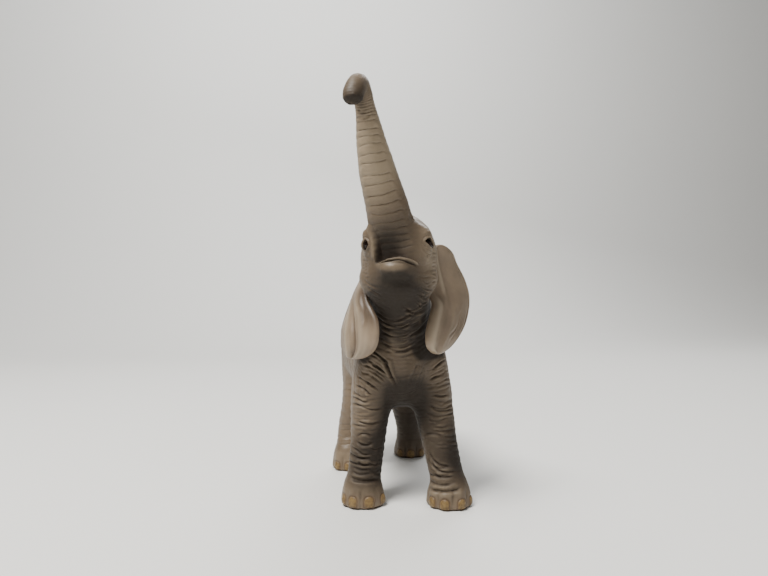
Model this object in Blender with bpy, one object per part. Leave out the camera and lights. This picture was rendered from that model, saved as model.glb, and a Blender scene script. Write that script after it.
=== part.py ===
"""Toy elephant calf that trumpets with its trunk raised, as soft vinyl castings that plug together.

Metres, +Z up. The calf faces -Y and its own left side is at +X. The shapes are laid out from
the middle of the four feet on the ground, and at the end the whole figure is moved so that the
origin is the middle of its footprint box, on the surface it stands on.

The animal is first made as one soft form. The castings are that form parted at the neck, the
root of the trunk and the tops of the legs, each with a plug that sits in its neighbour's socket.
The ears, eyes and tail are castings of their own, set into slots and holes.
"""

import math

import bmesh
import bpy
from mathutils import Matrix, Vector

# Torso casting
SHOULDER_HEIGHT = 0.0800
TORSO_LENGTH = 0.0780
TORSO_WIDTH = 0.0345
TORSO_DEPTH = 0.0490
CHEST_AHEAD = 0.0343
BELLY_FULLNESS_SHARE = 0.14
CHEST_SWAY = 0.0016

# Neck
NECK_WIDTH = 0.0235
NECK_DEPTH = 0.0310

# Head casting: its middle, and the way it turns and sits
HEAD_AHEAD = 0.0352
HEAD_ASIDE = 0.0044
HEAD_LIFT = 0.0020
HEAD_TURN = math.radians(15)
HEAD_WIDTH = 0.0246
HEAD_LENGTH = 0.0270
HEAD_DEPTH = 0.0240
JAW_REACH = 0.0135
JAW_WIDTH = 0.0130
JAW_DROP = 0.0055
MOUTH_WIDTH = 0.0120
MOUTH_GAP = 0.0009

# Trunk casting: how far it rises, leans to the calf's right and reaches forward
TRUNK_RISE = 0.0500
TRUNK_LEAN = 0.0183
TRUNK_REACH = 0.0273
TRUNK_THICKNESS = 0.0138

# Legs: the hips inside the torso, how far each foot is set ahead of its hip, and the castings
HIP_SPREAD = 0.0081
FRONT_HIP_INSET = 0.0138
HIND_HIP_INSET = 0.0177
FOOT_SPREAD = 0.0138
FRONT_RIGHT_STRIDE = 0.0017
FRONT_LEFT_STRIDE = 0.0076
HIND_RIGHT_STRIDE = 0.0077
HIND_LEFT_STRIDE = -0.0058
LEG_HEIGHT = 0.0500
FRONT_LEG_THICKNESS = 0.0120
HIND_LEG_THICKNESS = 0.0114
FRONT_FOOT_WIDTH = 0.0150
HIND_FOOT_WIDTH = 0.0138
NAIL_WIDTH = 0.0036
NAIL_HEIGHT = 0.0038
NAIL_RELIEF = 0.0005

# Ears
EAR_HEIGHT = 0.0350
EAR_WIDTH = 0.0200
EAR_THICKNESS = 0.0020

# Eyes and tail
EYE_DIAMETER = 0.0032
TAIL_LENGTH = 0.0320
TAIL_THICKNESS = 0.0040

# Where the castings part, the plugs that join them and their clearances
SEAM_GAP = 0.0003
PLUG_CLEARANCE = 0.0003
LEG_SEAM_DROP = 0.0050
LEG_SEAM_SLOPE = math.radians(25)
LEG_PLUG_WIDTH = 0.0062
LEG_PLUG_LENGTH = 0.0060
NECK_PLUG_WIDTH = 0.0100
NECK_PLUG_LENGTH = 0.0070
TRUNK_PLUG_WIDTH = 0.0058
TRUNK_PLUG_LENGTH = 0.0060
TAIL_PLUG_LENGTH = 0.0050

# How finely the soft form is made, and how far cutters run past what they cut
BLEND_GRAIN = 0.0013
BLEND_SOFTENING = 5
FORM_DETAIL_SHARE = 0.16
CUT_OVERRUN = 0.0900

BELLY_HEIGHT = SHOULDER_HEIGHT - TORSO_DEPTH
HEAD_HEIGHT = SHOULDER_HEIGHT + HEAD_LIFT
LEG_SEAM_HEIGHT = BELLY_HEIGHT - LEG_SEAM_DROP
FRONT_HIP_Y = FRONT_HIP_INSET - CHEST_AHEAD
HIND_HIP_Y = TORSO_LENGTH - CHEST_AHEAD - HIND_HIP_INSET
ACROSS = Vector((1, 0, 0))
UP = Vector((0, 0, 1))
LEFT, RIGHT = 1, -1

SKIN = ("skin", (0.225, 0.185, 0.140), 0.55)
EAR_SKIN = ("ear_skin", (0.270, 0.205, 0.155), 0.55)
NAIL = ("toenail", (0.560, 0.400, 0.170), 0.45)
EYE = ("eye_gloss", (0.012, 0.007, 0.005), 0.10)


def start_empty():
    """Takes away whatever the file holds, and leaves the root that carries the figure."""
    for thing in list(bpy.data.objects):
        bpy.data.objects.remove(thing, do_unlink=True)
    root = bpy.data.objects.new("figure", None)
    bpy.context.scene.collection.objects.link(root)
    return root


def material(recipe):
    """The material of one finish: its name, colour and roughness."""
    name, colour, roughness = recipe
    made = bpy.data.materials.get(name) or bpy.data.materials.new(name)
    made.use_nodes = True
    shader = made.node_tree.nodes["Principled BSDF"]
    shader.inputs["Base Color"].default_value = (*colour, 1)
    shader.inputs["Roughness"].default_value = roughness
    shader.inputs["Metallic"].default_value = 0
    return made


def thing_of(name, mesh, recipes=(SKIN,), cutter=False):
    """Puts a mesh in the scene under the figure's root. A cutter is hidden and drawn as wires."""
    made = bpy.data.objects.new(name, mesh)
    bpy.context.scene.collection.objects.link(made)
    made.parent = bpy.data.objects["figure"]
    for recipe in recipes[len(mesh.materials):]:
        mesh.materials.append(material(recipe))
    mesh.shade_smooth()
    if cutter:
        made.hide_render = True
        made.display_type = "WIRE"
    return made


def solid(name, form, recipes=(SKIN,), cutter=False):
    """Makes an object of a bmesh."""
    mesh = bpy.data.meshes.new(name)
    form.to_mesh(mesh)
    form.free()
    return thing_of(name, mesh, recipes, cutter)


def combine(thing, operation, tool):
    """Adds a Boolean that cuts the tool away, joins it on or keeps what is inside it."""
    step = thing.modifiers.new(f"{operation.lower()} {tool.name}", "BOOLEAN")
    step.operation = operation
    step.object = tool
    step.solver = "EXACT"
    return thing


def settled(thing):
    """The mesh that an object's modifiers give."""
    graph = bpy.context.evaluated_depsgraph_get()
    return bpy.data.meshes.new_from_object(thing.evaluated_get(graph))


def curve_value(before, here, there, after, t):
    """A Catmull-Rom curve's value between here and there."""
    bend = 2 * before - 5 * here + 4 * there - after
    twist = 3 * here - before - 3 * there + after
    return here + ((there - before) * t + bend * t**2 + twist * t**3) / 2


def smooth_rows(rows, steps):
    """Rows of numbers on a smooth Catmull-Rom curve through the rows given, ends included."""
    ends = [rows[0], *rows, rows[-1]]
    made = []
    for quad in zip(ends, ends[1:], ends[2:], ends[3:]):
        for step in range(steps):
            made.append([curve_value(*numbers, step / steps) for numbers in zip(*quad)])
    return [*made, list(rows[-1])]


def add_rings(form, rings):
    """Joins closed rings of points into one closed tube inside the bmesh."""
    loops = [[form.verts.new(point) for point in ring] for ring in rings]
    faces = []
    for one, other in zip(loops, loops[1:]):
        for i in range(len(one)):
            j = (i + 1) % len(one)
            faces.append(form.faces.new((one[i], one[j], other[j], other[i])))
    faces.append(form.faces.new(loops[0][::-1]))
    faces.append(form.faces.new(loops[-1]))
    form.normal_update()
    if sum(face.normal.dot(face.calc_center_median()) * face.calc_area() for face in faces) < 0:
        bmesh.ops.reverse_faces(form, faces=faces)
    return faces


def tube(form, rows, sides=20, steps=3, boxy=2.0, fullness=0.0):
    """A tube along a smooth path. A row is the ring's middle x, y, z, half width and half depth.

    A ring stands square to the path. `boxy` squares it off above 2, and `fullness` widens the
    half of it that faces down and narrows the half that faces up.
    """
    rows = smooth_rows(rows, steps)
    rings = []
    for i, (x, y, z, half_width, half_depth) in enumerate(rows):
        ahead = Vector(rows[min(i + 1, len(rows) - 1)][:3])
        behind = Vector(rows[max(i - 1, 0)][:3])
        along = (ahead - behind).normalized()
        side = (ACROSS - along * ACROSS.dot(along)).normalized()
        deep = along.cross(side)
        ring = []
        for k in range(sides):
            turn = 2 * math.pi * k / sides
            c, s = (math.copysign(abs(v) ** (2 / boxy), v) for v in (math.cos(turn), math.sin(turn)))
            wide = c * half_width * (1 - fullness * s * math.copysign(1, deep.z))
            ring.append(Vector((x, y, z)) + side * wide + deep * half_depth * s)
        rings.append(ring)
    return add_rings(form, rings)


def ball(form, middle, radii, place=Matrix.Identity(4), rings=12, sides=18):
    """An egg-shaped lump with its radii along its own axes."""
    shape = place @ Matrix.Translation(middle) @ Matrix.Diagonal((*radii, 1))
    made = bmesh.ops.create_uvsphere(form, u_segments=sides, v_segments=rings, radius=1, matrix=shape)
    return list({face for vert in made["verts"] for face in vert.link_faces})


# The soft form: torso, neck, head, trunk and legs as one shape, before it is parted


# along the body, half width, top and bottom: shares of the torso's length, width and depth
TORSO_SHARES = (
    (0.00, 0.13, 0.62, 0.28),
    (0.07, 0.28, 0.82, 0.06),
    (0.19, 0.39, 0.96, -0.03),
    (0.34, 0.46, 0.99, -0.02),
    (0.50, 0.50, 0.95, 0.00),
    (0.66, 0.49, 0.96, 0.01),
    (0.80, 0.43, 0.96, 0.05),
    (0.91, 0.33, 0.86, 0.16),
    (0.97, 0.22, 0.76, 0.28),
    (1.00, 0.10, 0.66, 0.38),
)


def sway(along):
    """How far the middle of the body swings to the calf's right, toward its chest."""
    return -CHEST_SWAY * (1 - along) ** 2


def add_torso(form):
    rows = []
    for along, half_width, top, bottom in TORSO_SHARES:
        rows.append((
            sway(along),
            along * TORSO_LENGTH - CHEST_AHEAD,
            BELLY_HEIGHT + (top + bottom) / 2 * TORSO_DEPTH,
            half_width * TORSO_WIDTH,
            (top - bottom) / 2 * TORSO_DEPTH,
        ))
    tube(form, rows, sides=28, boxy=2.15, fullness=BELLY_FULLNESS_SHARE)


def head_place():
    """The head's own frame: its middle as the origin, facing its own -Y."""
    middle = Vector((-HEAD_ASIDE, -HEAD_AHEAD, HEAD_HEIGHT))
    return Matrix.Translation(middle) @ Matrix.Rotation(-HEAD_TURN, 4, "Z")


# share of the way from the withers to the head's middle, and shares of the neck's width and depth
NECK_SHARES = ((0.00, 0.53, 0.66), (0.35, 0.48, 0.60), (0.70, 0.44, 0.52), (1.00, 0.41, 0.44))
WITHERS_SHARES = (0.26, 0.55)


def add_neck(form):
    along, height = WITHERS_SHARES
    start = Vector((sway(along), along * TORSO_LENGTH - CHEST_AHEAD, BELLY_HEIGHT + height * TORSO_DEPTH))
    end = head_place() @ Vector((0, 0, -HEAD_DEPTH / 6))
    rows = []
    for share, width, depth in NECK_SHARES:
        middle = start.lerp(end, share)
        rows.append((*middle, width * NECK_WIDTH, depth * NECK_DEPTH))
    tube(form, rows, sides=22)


# lumps of the head: middle and radii as shares of the head's width, length and depth
HEAD_SHARES = (
    ((0.00, 0.10, 0.03), (0.50, 0.50, 0.50)),
    ((0.00, -0.06, -0.34), (0.46, 0.40, 0.36)),
    ((0.00, -0.22, 0.02), (0.40, 0.24, 0.36)),
    ((0.25, -0.17, 0.23), (0.17, 0.20, 0.14)),
    ((-0.25, -0.17, 0.23), (0.17, 0.20, 0.14)),
)
# lower jaw: shares of its reach forward, its drop below the head's middle and its width
JAW_SHARES = (
    (0.05, 1.75, 0.70, 0.50),
    (0.45, 1.35, 0.60, 0.40),
    (0.78, 1.02, 0.49, 0.31),
    (0.98, 0.86, 0.32, 0.19),
)


def add_head(form):
    place = head_place()
    size = Vector((HEAD_WIDTH, HEAD_LENGTH, HEAD_DEPTH))
    for middle, radii in HEAD_SHARES:
        ball(form, Vector(middle) * size, Vector(radii) * size, place)
    rows = []
    for reach, drop, half_width, half_depth in JAW_SHARES:
        middle = place @ Vector((0, -reach * JAW_REACH, -drop * JAW_DROP))
        rows.append((*middle, half_width * JAW_WIDTH, half_depth * JAW_WIDTH))
    tube(form, rows, sides=18)


# trunk: shares of its rise, lean and reach from the head's middle, and of its thickness
TRUNK_SHARES = (
    (-0.05, 0.06, 0.14, 0.50, 0.46),
    (0.08, 0.14, 0.21, 0.53, 0.48),
    (0.21, 0.24, 0.29, 0.50, 0.46),
    (0.31, 0.33, 0.36, 0.46, 0.44),
    (0.41, 0.43, 0.41, 0.43, 0.42),
    (0.50, 0.50, 0.45, 0.395, 0.39),
    (0.60, 0.575, 0.49, 0.345, 0.345),
    (0.70, 0.63, 0.53, 0.285, 0.285),
    (0.785, 0.69, 0.58, 0.236, 0.240),
    (0.85, 0.745, 0.65, 0.218, 0.228),
    (0.888, 0.80, 0.74, 0.216, 0.228),
    (0.888, 0.865, 0.85, 0.220, 0.228),
    (0.84, 0.935, 0.945, 0.224, 0.226),
    (0.775, 0.98, 1.00, 0.216, 0.216),
    (0.752, 0.985, 1.01, 0.130, 0.130),
)


def trunk_rows():
    rows = []
    for rise, lean, reach, half_width, half_depth in TRUNK_SHARES:
        rows.append((
            -HEAD_ASIDE - lean * TRUNK_LEAN,
            -HEAD_AHEAD - reach * TRUNK_REACH,
            HEAD_HEIGHT + rise * TRUNK_RISE,
            half_width * TRUNK_THICKNESS,
            half_depth * TRUNK_THICKNESS,
        ))
    return rows


# legs: share of the leg's height, shares of the way from the foot to the hip across and along,
# and half width and half depth as shares of the leg's thickness
FRONT_LEG_SHARES = (
    (1.24, 0.95, 0.80, 0.34, 0.66),
    (1.06, 0.95, 1.00, 0.48, 0.90),
    (0.86, 0.84, 0.92, 0.59, 0.86),
    (0.68, 0.64, 0.72, 0.58, 0.70),
    (0.53, 0.48, 0.50, 0.53, 0.55),
    (0.40, 0.36, 0.30, 0.485, 0.49),
    (0.27, 0.20, 0.12, 0.475, 0.47),
    (0.185, 0.08, 0.03, 0.470, 0.465),
)
HIND_LEG_SHARES = (
    (1.16, 0.95, 1.00, 0.50, 0.90),
    (0.95, 0.95, 0.90, 0.66, 1.15),
    (0.76, 0.88, 0.62, 0.64, 0.98),
    (0.60, 0.72, 0.30, 0.56, 0.76),
    (0.44, 0.45, 0.15, 0.50, 0.57),
    (0.30, 0.20, 0.30, 0.475, 0.48),
    (0.19, 0.08, 0.12, 0.460, 0.46),
)
# foot: share of the leg's height, and half width and half depth as shares of the foot's width
FOOT_SHARES = (
    (0.125, 0.435, 0.450),
    (0.070, 0.480, 0.500),
    (0.000, 0.500, 0.520),
    (-0.060, 0.500, 0.520),
)
FRONT_NAIL_TURNS = (-62, -22, 18, 58)
HIND_NAIL_TURNS = (-50, -8, 34)


class Leg:
    """One leg: where its foot stands, where its hip is, and its sizes."""

    def __init__(self, name, side, hip_y, stride, leg_shares, thickness, foot_width, nail_turns):
        self.name = name
        self.side = side
        self.foot = Vector((side * FOOT_SPREAD, hip_y - stride, 0))
        self.hip = Vector((side * HIP_SPREAD + sway((hip_y + CHEST_AHEAD) / TORSO_LENGTH), hip_y, 0))
        self.leg_shares = leg_shares
        self.thickness = thickness
        self.foot_width = foot_width
        self.nail_turns = nail_turns

    def add_form(self, form):
        rows = []
        for height, across, along, half_width, half_depth in self.leg_shares:
            rows.append((
                self.foot.x + across * (self.hip.x - self.foot.x),
                self.foot.y + along * (self.hip.y - self.foot.y),
                height * LEG_HEIGHT,
                half_width * self.thickness,
                half_depth * self.thickness,
            ))
        for height, half_width, half_depth in FOOT_SHARES:
            rows.append((
                self.foot.x,
                self.foot.y,
                height * LEG_HEIGHT,
                half_width * self.foot_width,
                half_depth * self.foot_width,
            ))
        tube(form, rows, sides=18, boxy=2.2)


LEGS = (
    Leg("leg_front_right", RIGHT, FRONT_HIP_Y, FRONT_RIGHT_STRIDE,
        FRONT_LEG_SHARES, FRONT_LEG_THICKNESS, FRONT_FOOT_WIDTH, FRONT_NAIL_TURNS),
    Leg("leg_front_left", LEFT, FRONT_HIP_Y, FRONT_LEFT_STRIDE,
        FRONT_LEG_SHARES, FRONT_LEG_THICKNESS, FRONT_FOOT_WIDTH, FRONT_NAIL_TURNS),
    Leg("leg_hind_right", RIGHT, HIND_HIP_Y, HIND_RIGHT_STRIDE,
        HIND_LEG_SHARES, HIND_LEG_THICKNESS, HIND_FOOT_WIDTH, HIND_NAIL_TURNS),
    Leg("leg_hind_left", LEFT, HIND_HIP_Y, HIND_LEFT_STRIDE,
        HIND_LEG_SHARES, HIND_LEG_THICKNESS, HIND_FOOT_WIDTH, HIND_NAIL_TURNS),
)


def soft_form():
    """The whole animal but its ears, eyes and tail, as one closed and softened mesh."""
    form = bmesh.new()
    add_torso(form)
    add_neck(form)
    add_head(form)
    tube(form, trunk_rows(), sides=18)
    for leg in LEGS:
        leg.add_form(form)
    guide = solid("form_guide", form, cutter=True)
    blend = guide.modifiers.new("blend", "REMESH")
    blend.mode = "VOXEL"
    blend.voxel_size = BLEND_GRAIN
    soften = guide.modifiers.new("soften", "SMOOTH")
    soften.factor = 0.5
    soften.iterations = BLEND_SOFTENING
    lighten = guide.modifiers.new("lighten", "DECIMATE")
    lighten.ratio = FORM_DETAIL_SHARE
    mesh = settled(guide)
    bpy.data.objects.remove(guide, do_unlink=True)
    return mesh


# Seams, plugs and sockets


def frame_along(point, direction):
    """A frame at a point with its Z along a direction and its Y as near the front as it can be."""
    return Matrix.Translation(point) @ direction.to_track_quat("Z", "Y").to_matrix().to_4x4()


def turned_over(place):
    """The same frame with its Z the other way."""
    return place @ Matrix.Rotation(math.pi, 4, "X")


def beyond(name, place, gap=0.0):
    """A cutter that fills all that lies more than the gap above a frame's XY plane."""
    form = bmesh.new()
    middle = Vector((0, 0, CUT_OVERRUN / 2 + gap))
    box = Matrix.Translation(middle) @ Matrix.Diagonal((CUT_OVERRUN, CUT_OVERRUN, CUT_OVERRUN, 1))
    bmesh.ops.create_cube(form, size=1, matrix=place @ box)
    return solid(name, form, cutter=True)


# how long an oval plug is against its width, which keys it
PLUG_OVAL_SHARE = 1.3
PLUG_SIDES = 16


def plug(name, place, width, length, slack=0.0, oval_share=PLUG_OVAL_SHARE):
    """An oval plug along a frame's Z that starts as far behind the seam as it stands proud of it."""
    form = bmesh.new()
    half_width = width / 2 + slack
    half_depth = width / 2 * oval_share + slack
    rings = []
    for height in (-length, length + slack):
        ring = []
        for k in range(PLUG_SIDES):
            turn = 2 * math.pi * k / PLUG_SIDES
            ring.append(place @ Vector((half_width * math.cos(turn), half_depth * math.sin(turn), height)))
        rings.append(ring)
    add_rings(form, rings)
    return solid(name, form, cutter=True)


def join_by_plug(name, place, width, length, plugged, socketed):
    """Gives one casting a plug and its neighbour the socket that takes it."""
    combine(plugged, "UNION", plug(f"{name}_plug", place, width, length))
    combine(socketed, "DIFFERENCE", plug(f"{name}_socket", place, width, length, PLUG_CLEARANCE))


# Legs


def leg_zone(name, leg, lower, gap=0.0):
    """A cutter for one leg: its quarter of the figure below a seam that rises outward."""
    form = bmesh.new()
    front = math.copysign(CUT_OVERRUN, leg.foot.y)
    rings = []
    for x in (0, leg.side * CUT_OVERRUN):
        top = LEG_SEAM_HEIGHT + math.tan(LEG_SEAM_SLOPE) * abs(x) + gap / math.cos(LEG_SEAM_SLOPE)
        rings.append([
            Vector((x, y, z)) for y, z in ((0, lower), (front, lower), (front, top), (0, top))
        ])
    add_rings(form, rings)
    return solid(name, form, cutter=True)


def leg_seam(leg):
    """The frame of a leg's plug: in the middle of the leg's top, square to the seam."""
    slope = math.tan(LEG_SEAM_SLOPE)
    tops = []
    for height, across, along, *_ in smooth_rows(leg.leg_shares, 4):
        middle = leg.foot + Vector((across, along, 0)) * (leg.hip - leg.foot) + UP * height * LEG_HEIGHT
        seam = LEG_SEAM_HEIGHT + slope * abs(middle.x)
        tops.append((abs(middle.z - seam), tuple(middle)))
    direction = Vector((-leg.side * math.sin(LEG_SEAM_SLOPE), 0, math.cos(LEG_SEAM_SLOPE)))
    return frame_along(Vector(min(tops)[1]), direction)


def nails(leg):
    """Rounded toenails that stand a little proud of a foot's front."""
    form = bmesh.new()
    height = NAIL_HEIGHT / 2
    _, wide_share, deep_share = FOOT_SHARES[1]
    for degrees in leg.nail_turns:
        turn = math.radians(degrees)
        outward = Vector((math.sin(turn), -math.cos(turn), 0))
        reach = Vector((outward.x * wide_share, outward.y * deep_share, 0)) * leg.foot_width
        middle = leg.foot + reach + outward * (NAIL_RELIEF - NAIL_WIDTH / 4) + UP * (height + SEAM_GAP)
        place = Matrix.Translation(middle) @ outward.to_track_quat("Y", "Z").to_matrix().to_4x4()
        faces = ball(form, Vector(), (NAIL_WIDTH / 2, NAIL_WIDTH / 4, height), place, rings=8, sides=10)
        for face in faces:
            face.material_index = 1
    return solid(f"{leg.name}_nails", form, (SKIN, NAIL), cutter=True)


def make_legs(whole, torso):
    for leg in LEGS:
        casting = thing_of(leg.name, whole.copy(), (SKIN, NAIL))
        combine(casting, "INTERSECT", leg_zone(f"{leg.name}_zone", leg, 0))
        combine(casting, "UNION", nails(leg))
        combine(torso, "DIFFERENCE", leg_zone(f"{leg.name}_clear", leg, -CUT_OVERRUN, SEAM_GAP))
        join_by_plug(leg.name, leg_seam(leg), LEG_PLUG_WIDTH, LEG_PLUG_LENGTH, casting, torso)


# Ears: shares of the ear's height and width from the head's side, for the height, the root
# edge's x and y and the outer edge's x and y, then half thickness at each as shares of its own
LEFT_EAR_SHARES = (
    (0.114, 0.08, 0.34, 0.21, 0.38, 0.30, 0.28),
    (0.083, -0.07, 0.31, 0.31, 0.45, 0.45, 0.34),
    (0.029, -0.14, 0.29, 0.40, 0.52, 0.50, 0.36),
    (-0.071, -0.17, 0.27, 0.52, 0.63, 0.52, 0.34),
    (-0.214, -0.17, 0.26, 0.68, 0.74, 0.55, 0.32),
    (-0.343, -0.13, 0.24, 0.75, 0.75, 0.60, 0.32),
    (-0.443, -0.06, 0.17, 0.76, 0.74, 0.66, 0.32),
    (-0.534, -0.10, 0.10, 0.72, 0.70, 0.72, 0.34),
    (-0.629, -0.16, 0.03, 0.65, 0.61, 0.76, 0.36),
    (-0.709, -0.20, -0.02, 0.55, 0.52, 0.74, 0.38),
    (-0.786, -0.21, -0.05, 0.42, 0.40, 0.68, 0.40),
    (-0.846, -0.18, -0.04, 0.28, 0.27, 0.58, 0.40),
    (-0.886, -0.10, 0.00, 0.15, 0.17, 0.46, 0.36),
    (-0.903, -0.03, 0.06, 0.07, 0.11, 0.30, 0.28),
)
RIGHT_EAR_SHARES = (
    (0.080, 0.32, 0.08, 0.22, 0.30, 0.36, 0.28),
    (0.029, 0.41, 0.04, 0.19, 0.46, 0.50, 0.34),
    (-0.086, 0.41, 0.02, 0.16, 0.58, 0.52, 0.34),
    (-0.186, 0.36, 0.02, 0.12, 0.61, 0.54, 0.32),
    (-0.251, 0.23, 0.05, 0.08, 0.62, 0.56, 0.32),
    (-0.320, 0.13, 0.03, 0.04, 0.63, 0.60, 0.32),
    (-0.414, 0.12, -0.09, -0.02, 0.64, 0.64, 0.32),
    (-0.500, 0.17, -0.23, -0.07, 0.63, 0.68, 0.32),
    (-0.594, 0.23, -0.33, -0.13, 0.60, 0.72, 0.34),
    (-0.700, 0.24, -0.38, -0.18, 0.54, 0.72, 0.36),
    (-0.800, 0.22, -0.37, -0.19, 0.48, 0.68, 0.38),
    (-0.871, 0.17, -0.30, -0.18, 0.41, 0.60, 0.40),
    (-0.926, 0.08, -0.15, -0.15, 0.31, 0.46, 0.38),
    (-0.954, -0.00, 0.01, -0.10, 0.20, 0.32, 0.28),
)
# how far the middle of an ear bows outward, as a share of its width from edge to edge
EAR_BOW_SHARE = 0.08
EAR_POINTS = 7


def ear_solid(name, ear_shares, side, slack=0.0, cutter=False):
    """A flap lofted through level rings, each a bowed strip from the root edge to the outer edge."""
    form = bmesh.new()
    head_side = head_place() @ Vector((side * HEAD_WIDTH / 2, 0, 0))
    rings = []
    for height, x1, y1, x2, y2, thick, thin in smooth_rows(ear_shares, 2):
        root = head_side + Vector((x1 * EAR_WIDTH, y1 * EAR_WIDTH, height * EAR_HEIGHT))
        rim = head_side + Vector((x2 * EAR_WIDTH, y2 * EAR_WIDTH, height * EAR_HEIGHT))
        width = (rim - root).length
        along = (rim - root).normalized()
        out = Vector((side * along.y, -side * along.x, 0))
        front, back = [], []
        for k in range(EAR_POINTS):
            turn = math.pi * (k + 0.5) / EAR_POINTS
            share = (1 - math.cos(turn)) / 2
            bow = EAR_BOW_SHARE * width * math.sin(math.pi * share)
            middle = root.lerp(rim, share) + out * bow + along * slack * (2 * share - 1)
            half = (thick + (thin - thick) * share) * EAR_THICKNESS * min(1, 2 * math.sin(turn)) + slack
            front.append(middle + out * half)
            back.append(middle - out * half)
        rings.append(front + back[::-1])
    rings[0] = [point + UP * slack for point in rings[0]]
    rings[-1] = [point - UP * slack for point in rings[-1]]
    add_rings(form, rings)
    return solid(name, form, (EAR_SKIN,), cutter)


def make_ears(head, torso):
    """Sets each ear into a slot in the head, and keeps the torso clear of it."""
    for name, ear_shares, side in (("ear_left", LEFT_EAR_SHARES, LEFT), ("ear_right", RIGHT_EAR_SHARES, RIGHT)):
        ear_solid(name, ear_shares, side)
        grown = ear_solid(f"{name}_slot", ear_shares, side, PLUG_CLEARANCE, cutter=True)
        combine(head, "DIFFERENCE", grown)
        combine(torso, "DIFFERENCE", grown)


# Eyes: shares of the head's width, length and depth from its middle
EYE_SHARES = (0.375, -0.262, 0.090)


def make_eyes(head):
    size = Vector((HEAD_WIDTH, HEAD_LENGTH, HEAD_DEPTH))
    for name, side in (("eye_left", LEFT), ("eye_right", RIGHT)):
        middle = Vector(EYE_SHARES) * size
        middle.x *= side
        radius = EYE_DIAMETER / 2
        eye = bmesh.new()
        ball(eye, middle, (radius, radius, radius), head_place(), rings=8, sides=12)
        solid(name, eye, (EYE,))
        hole = bmesh.new()
        grown = radius + PLUG_CLEARANCE
        ball(hole, middle, (grown, grown, grown), head_place(), rings=8, sides=12)
        combine(head, "DIFFERENCE", solid(f"{name}_socket", hole, cutter=True))


# Tail: shares of its length behind the rump and down, and of its thickness
TAIL_SHARES = (
    (0.00, 0.00, 0.50, 0.50),
    (0.10, 0.02, 0.46, 0.44),
    (0.18, 0.12, 0.40, 0.37),
    (0.225, 0.32, 0.32, 0.30),
    (0.235, 0.55, 0.27, 0.26),
    (0.225, 0.72, 0.26, 0.25),
    (0.215, 0.80, 0.38, 0.34),
    (0.205, 0.90, 0.34, 0.30),
    (0.195, 1.00, 0.14, 0.14),
)
TAIL_ROOT_SHARES = (0.985, 0.70)


def make_tail(torso):
    along, height = TAIL_ROOT_SHARES
    root = Vector((0, along * TORSO_LENGTH - CHEST_AHEAD, BELLY_HEIGHT + height * TORSO_DEPTH))
    half = TAIL_THICKNESS / 2
    rows = [(root.x, root.y - TAIL_PLUG_LENGTH, root.z, half, half)]
    for back, down, half_width, half_depth in TAIL_SHARES:
        rows.append((
            root.x,
            root.y + back * TAIL_LENGTH,
            root.z - down * TAIL_LENGTH,
            half_width * TAIL_THICKNESS,
            half_depth * TAIL_THICKNESS,
        ))
    form = bmesh.new()
    tube(form, rows, sides=12, steps=2)
    solid("tail", form)
    place = frame_along(root, Vector((0, -1, 0)))
    hole = plug("tail_socket", place, TAIL_THICKNESS, TAIL_PLUG_LENGTH, PLUG_CLEARANCE, oval_share=1)
    combine(torso, "DIFFERENCE", hole)


# Head, trunk and torso


# the neck seam's middle behind and below the head's middle, and the way the seam faces
NECK_SEAM_SHARES = (0.27, 0.50)
NECK_SEAM_FACES = (0.10, 0.80, -0.58)


def neck_seam():
    """The frame of the neck's seam, facing back into the torso."""
    behind, below = NECK_SEAM_SHARES
    middle = head_place() @ Vector((0, behind * HEAD_LENGTH, -below * HEAD_DEPTH))
    return frame_along(middle, Vector(NECK_SEAM_FACES).normalized())


def trunk_seam():
    """The frame of the seam at the trunk's root, facing up along the trunk."""
    rows = trunk_rows()
    low, high = Vector(rows[2][:3]), Vector(rows[3][:3])
    return frame_along(low, (high - low).normalized())


# the mouth's middle and half depth: shares of the head's length and depth from its middle
MOUTH_SHARES = (-0.44, -0.10, 0.24)


def mouth():
    """A thin curved cut between the upper lip and the lower jaw."""
    ahead, height, reach = MOUTH_SHARES
    form = bmesh.new()
    middle = Vector((0, ahead * HEAD_LENGTH, height * HEAD_DEPTH))
    ball(form, middle, (MOUTH_WIDTH / 2, reach * HEAD_LENGTH, MOUTH_GAP / 2), head_place(), sides=24)
    return solid("mouth_cut", form, cutter=True)


def make_head(whole, torso):
    neck, root = neck_seam(), trunk_seam()
    head = thing_of("head", whole.copy())
    combine(head, "INTERSECT", beyond("head_zone", turned_over(neck)))
    combine(torso, "DIFFERENCE", beyond("head_clear", turned_over(neck), -SEAM_GAP))
    join_by_plug("neck", neck, NECK_PLUG_WIDTH, NECK_PLUG_LENGTH, head, torso)
    trunk = thing_of("trunk", whole.copy())
    combine(trunk, "INTERSECT", beyond("trunk_zone", root))
    combine(head, "DIFFERENCE", beyond("trunk_clear", root, -SEAM_GAP))
    join_by_plug("trunk", turned_over(root), TRUNK_PLUG_WIDTH, TRUNK_PLUG_LENGTH, trunk, head)
    combine(head, "DIFFERENCE", mouth())
    return head


def stand_on_origin(root):
    """Moves the figure so that the origin is the middle of its footprint, on the ground."""
    points = []
    for thing in bpy.context.scene.objects:
        if thing.type == "MESH" and not thing.hide_render:
            points += [corner.co for corner in settled(thing).vertices]
    across, along, _ = zip(*points)
    root.location = Vector((-(min(across) + max(across)) / 2, -(min(along) + max(along)) / 2, 0))


def main():
    root = start_empty()
    whole = soft_form()
    torso = thing_of("torso", whole.copy())
    head = make_head(whole, torso)
    make_legs(whole, torso)
    make_ears(head, torso)
    make_eyes(head)
    make_tail(torso)
    bpy.data.meshes.remove(whole)
    stand_on_origin(root)


main()
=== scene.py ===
# Toy elephant calf that trumpets with its trunk raised: the looks around its packed castings.
# Shapes are worked out in millimetres and go into the meshes in metres. The calf faces -Y, and its
# own left side is at +X.
import math

import bmesh
import bpy
import numpy as np
from mathutils import Matrix, Vector


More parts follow.
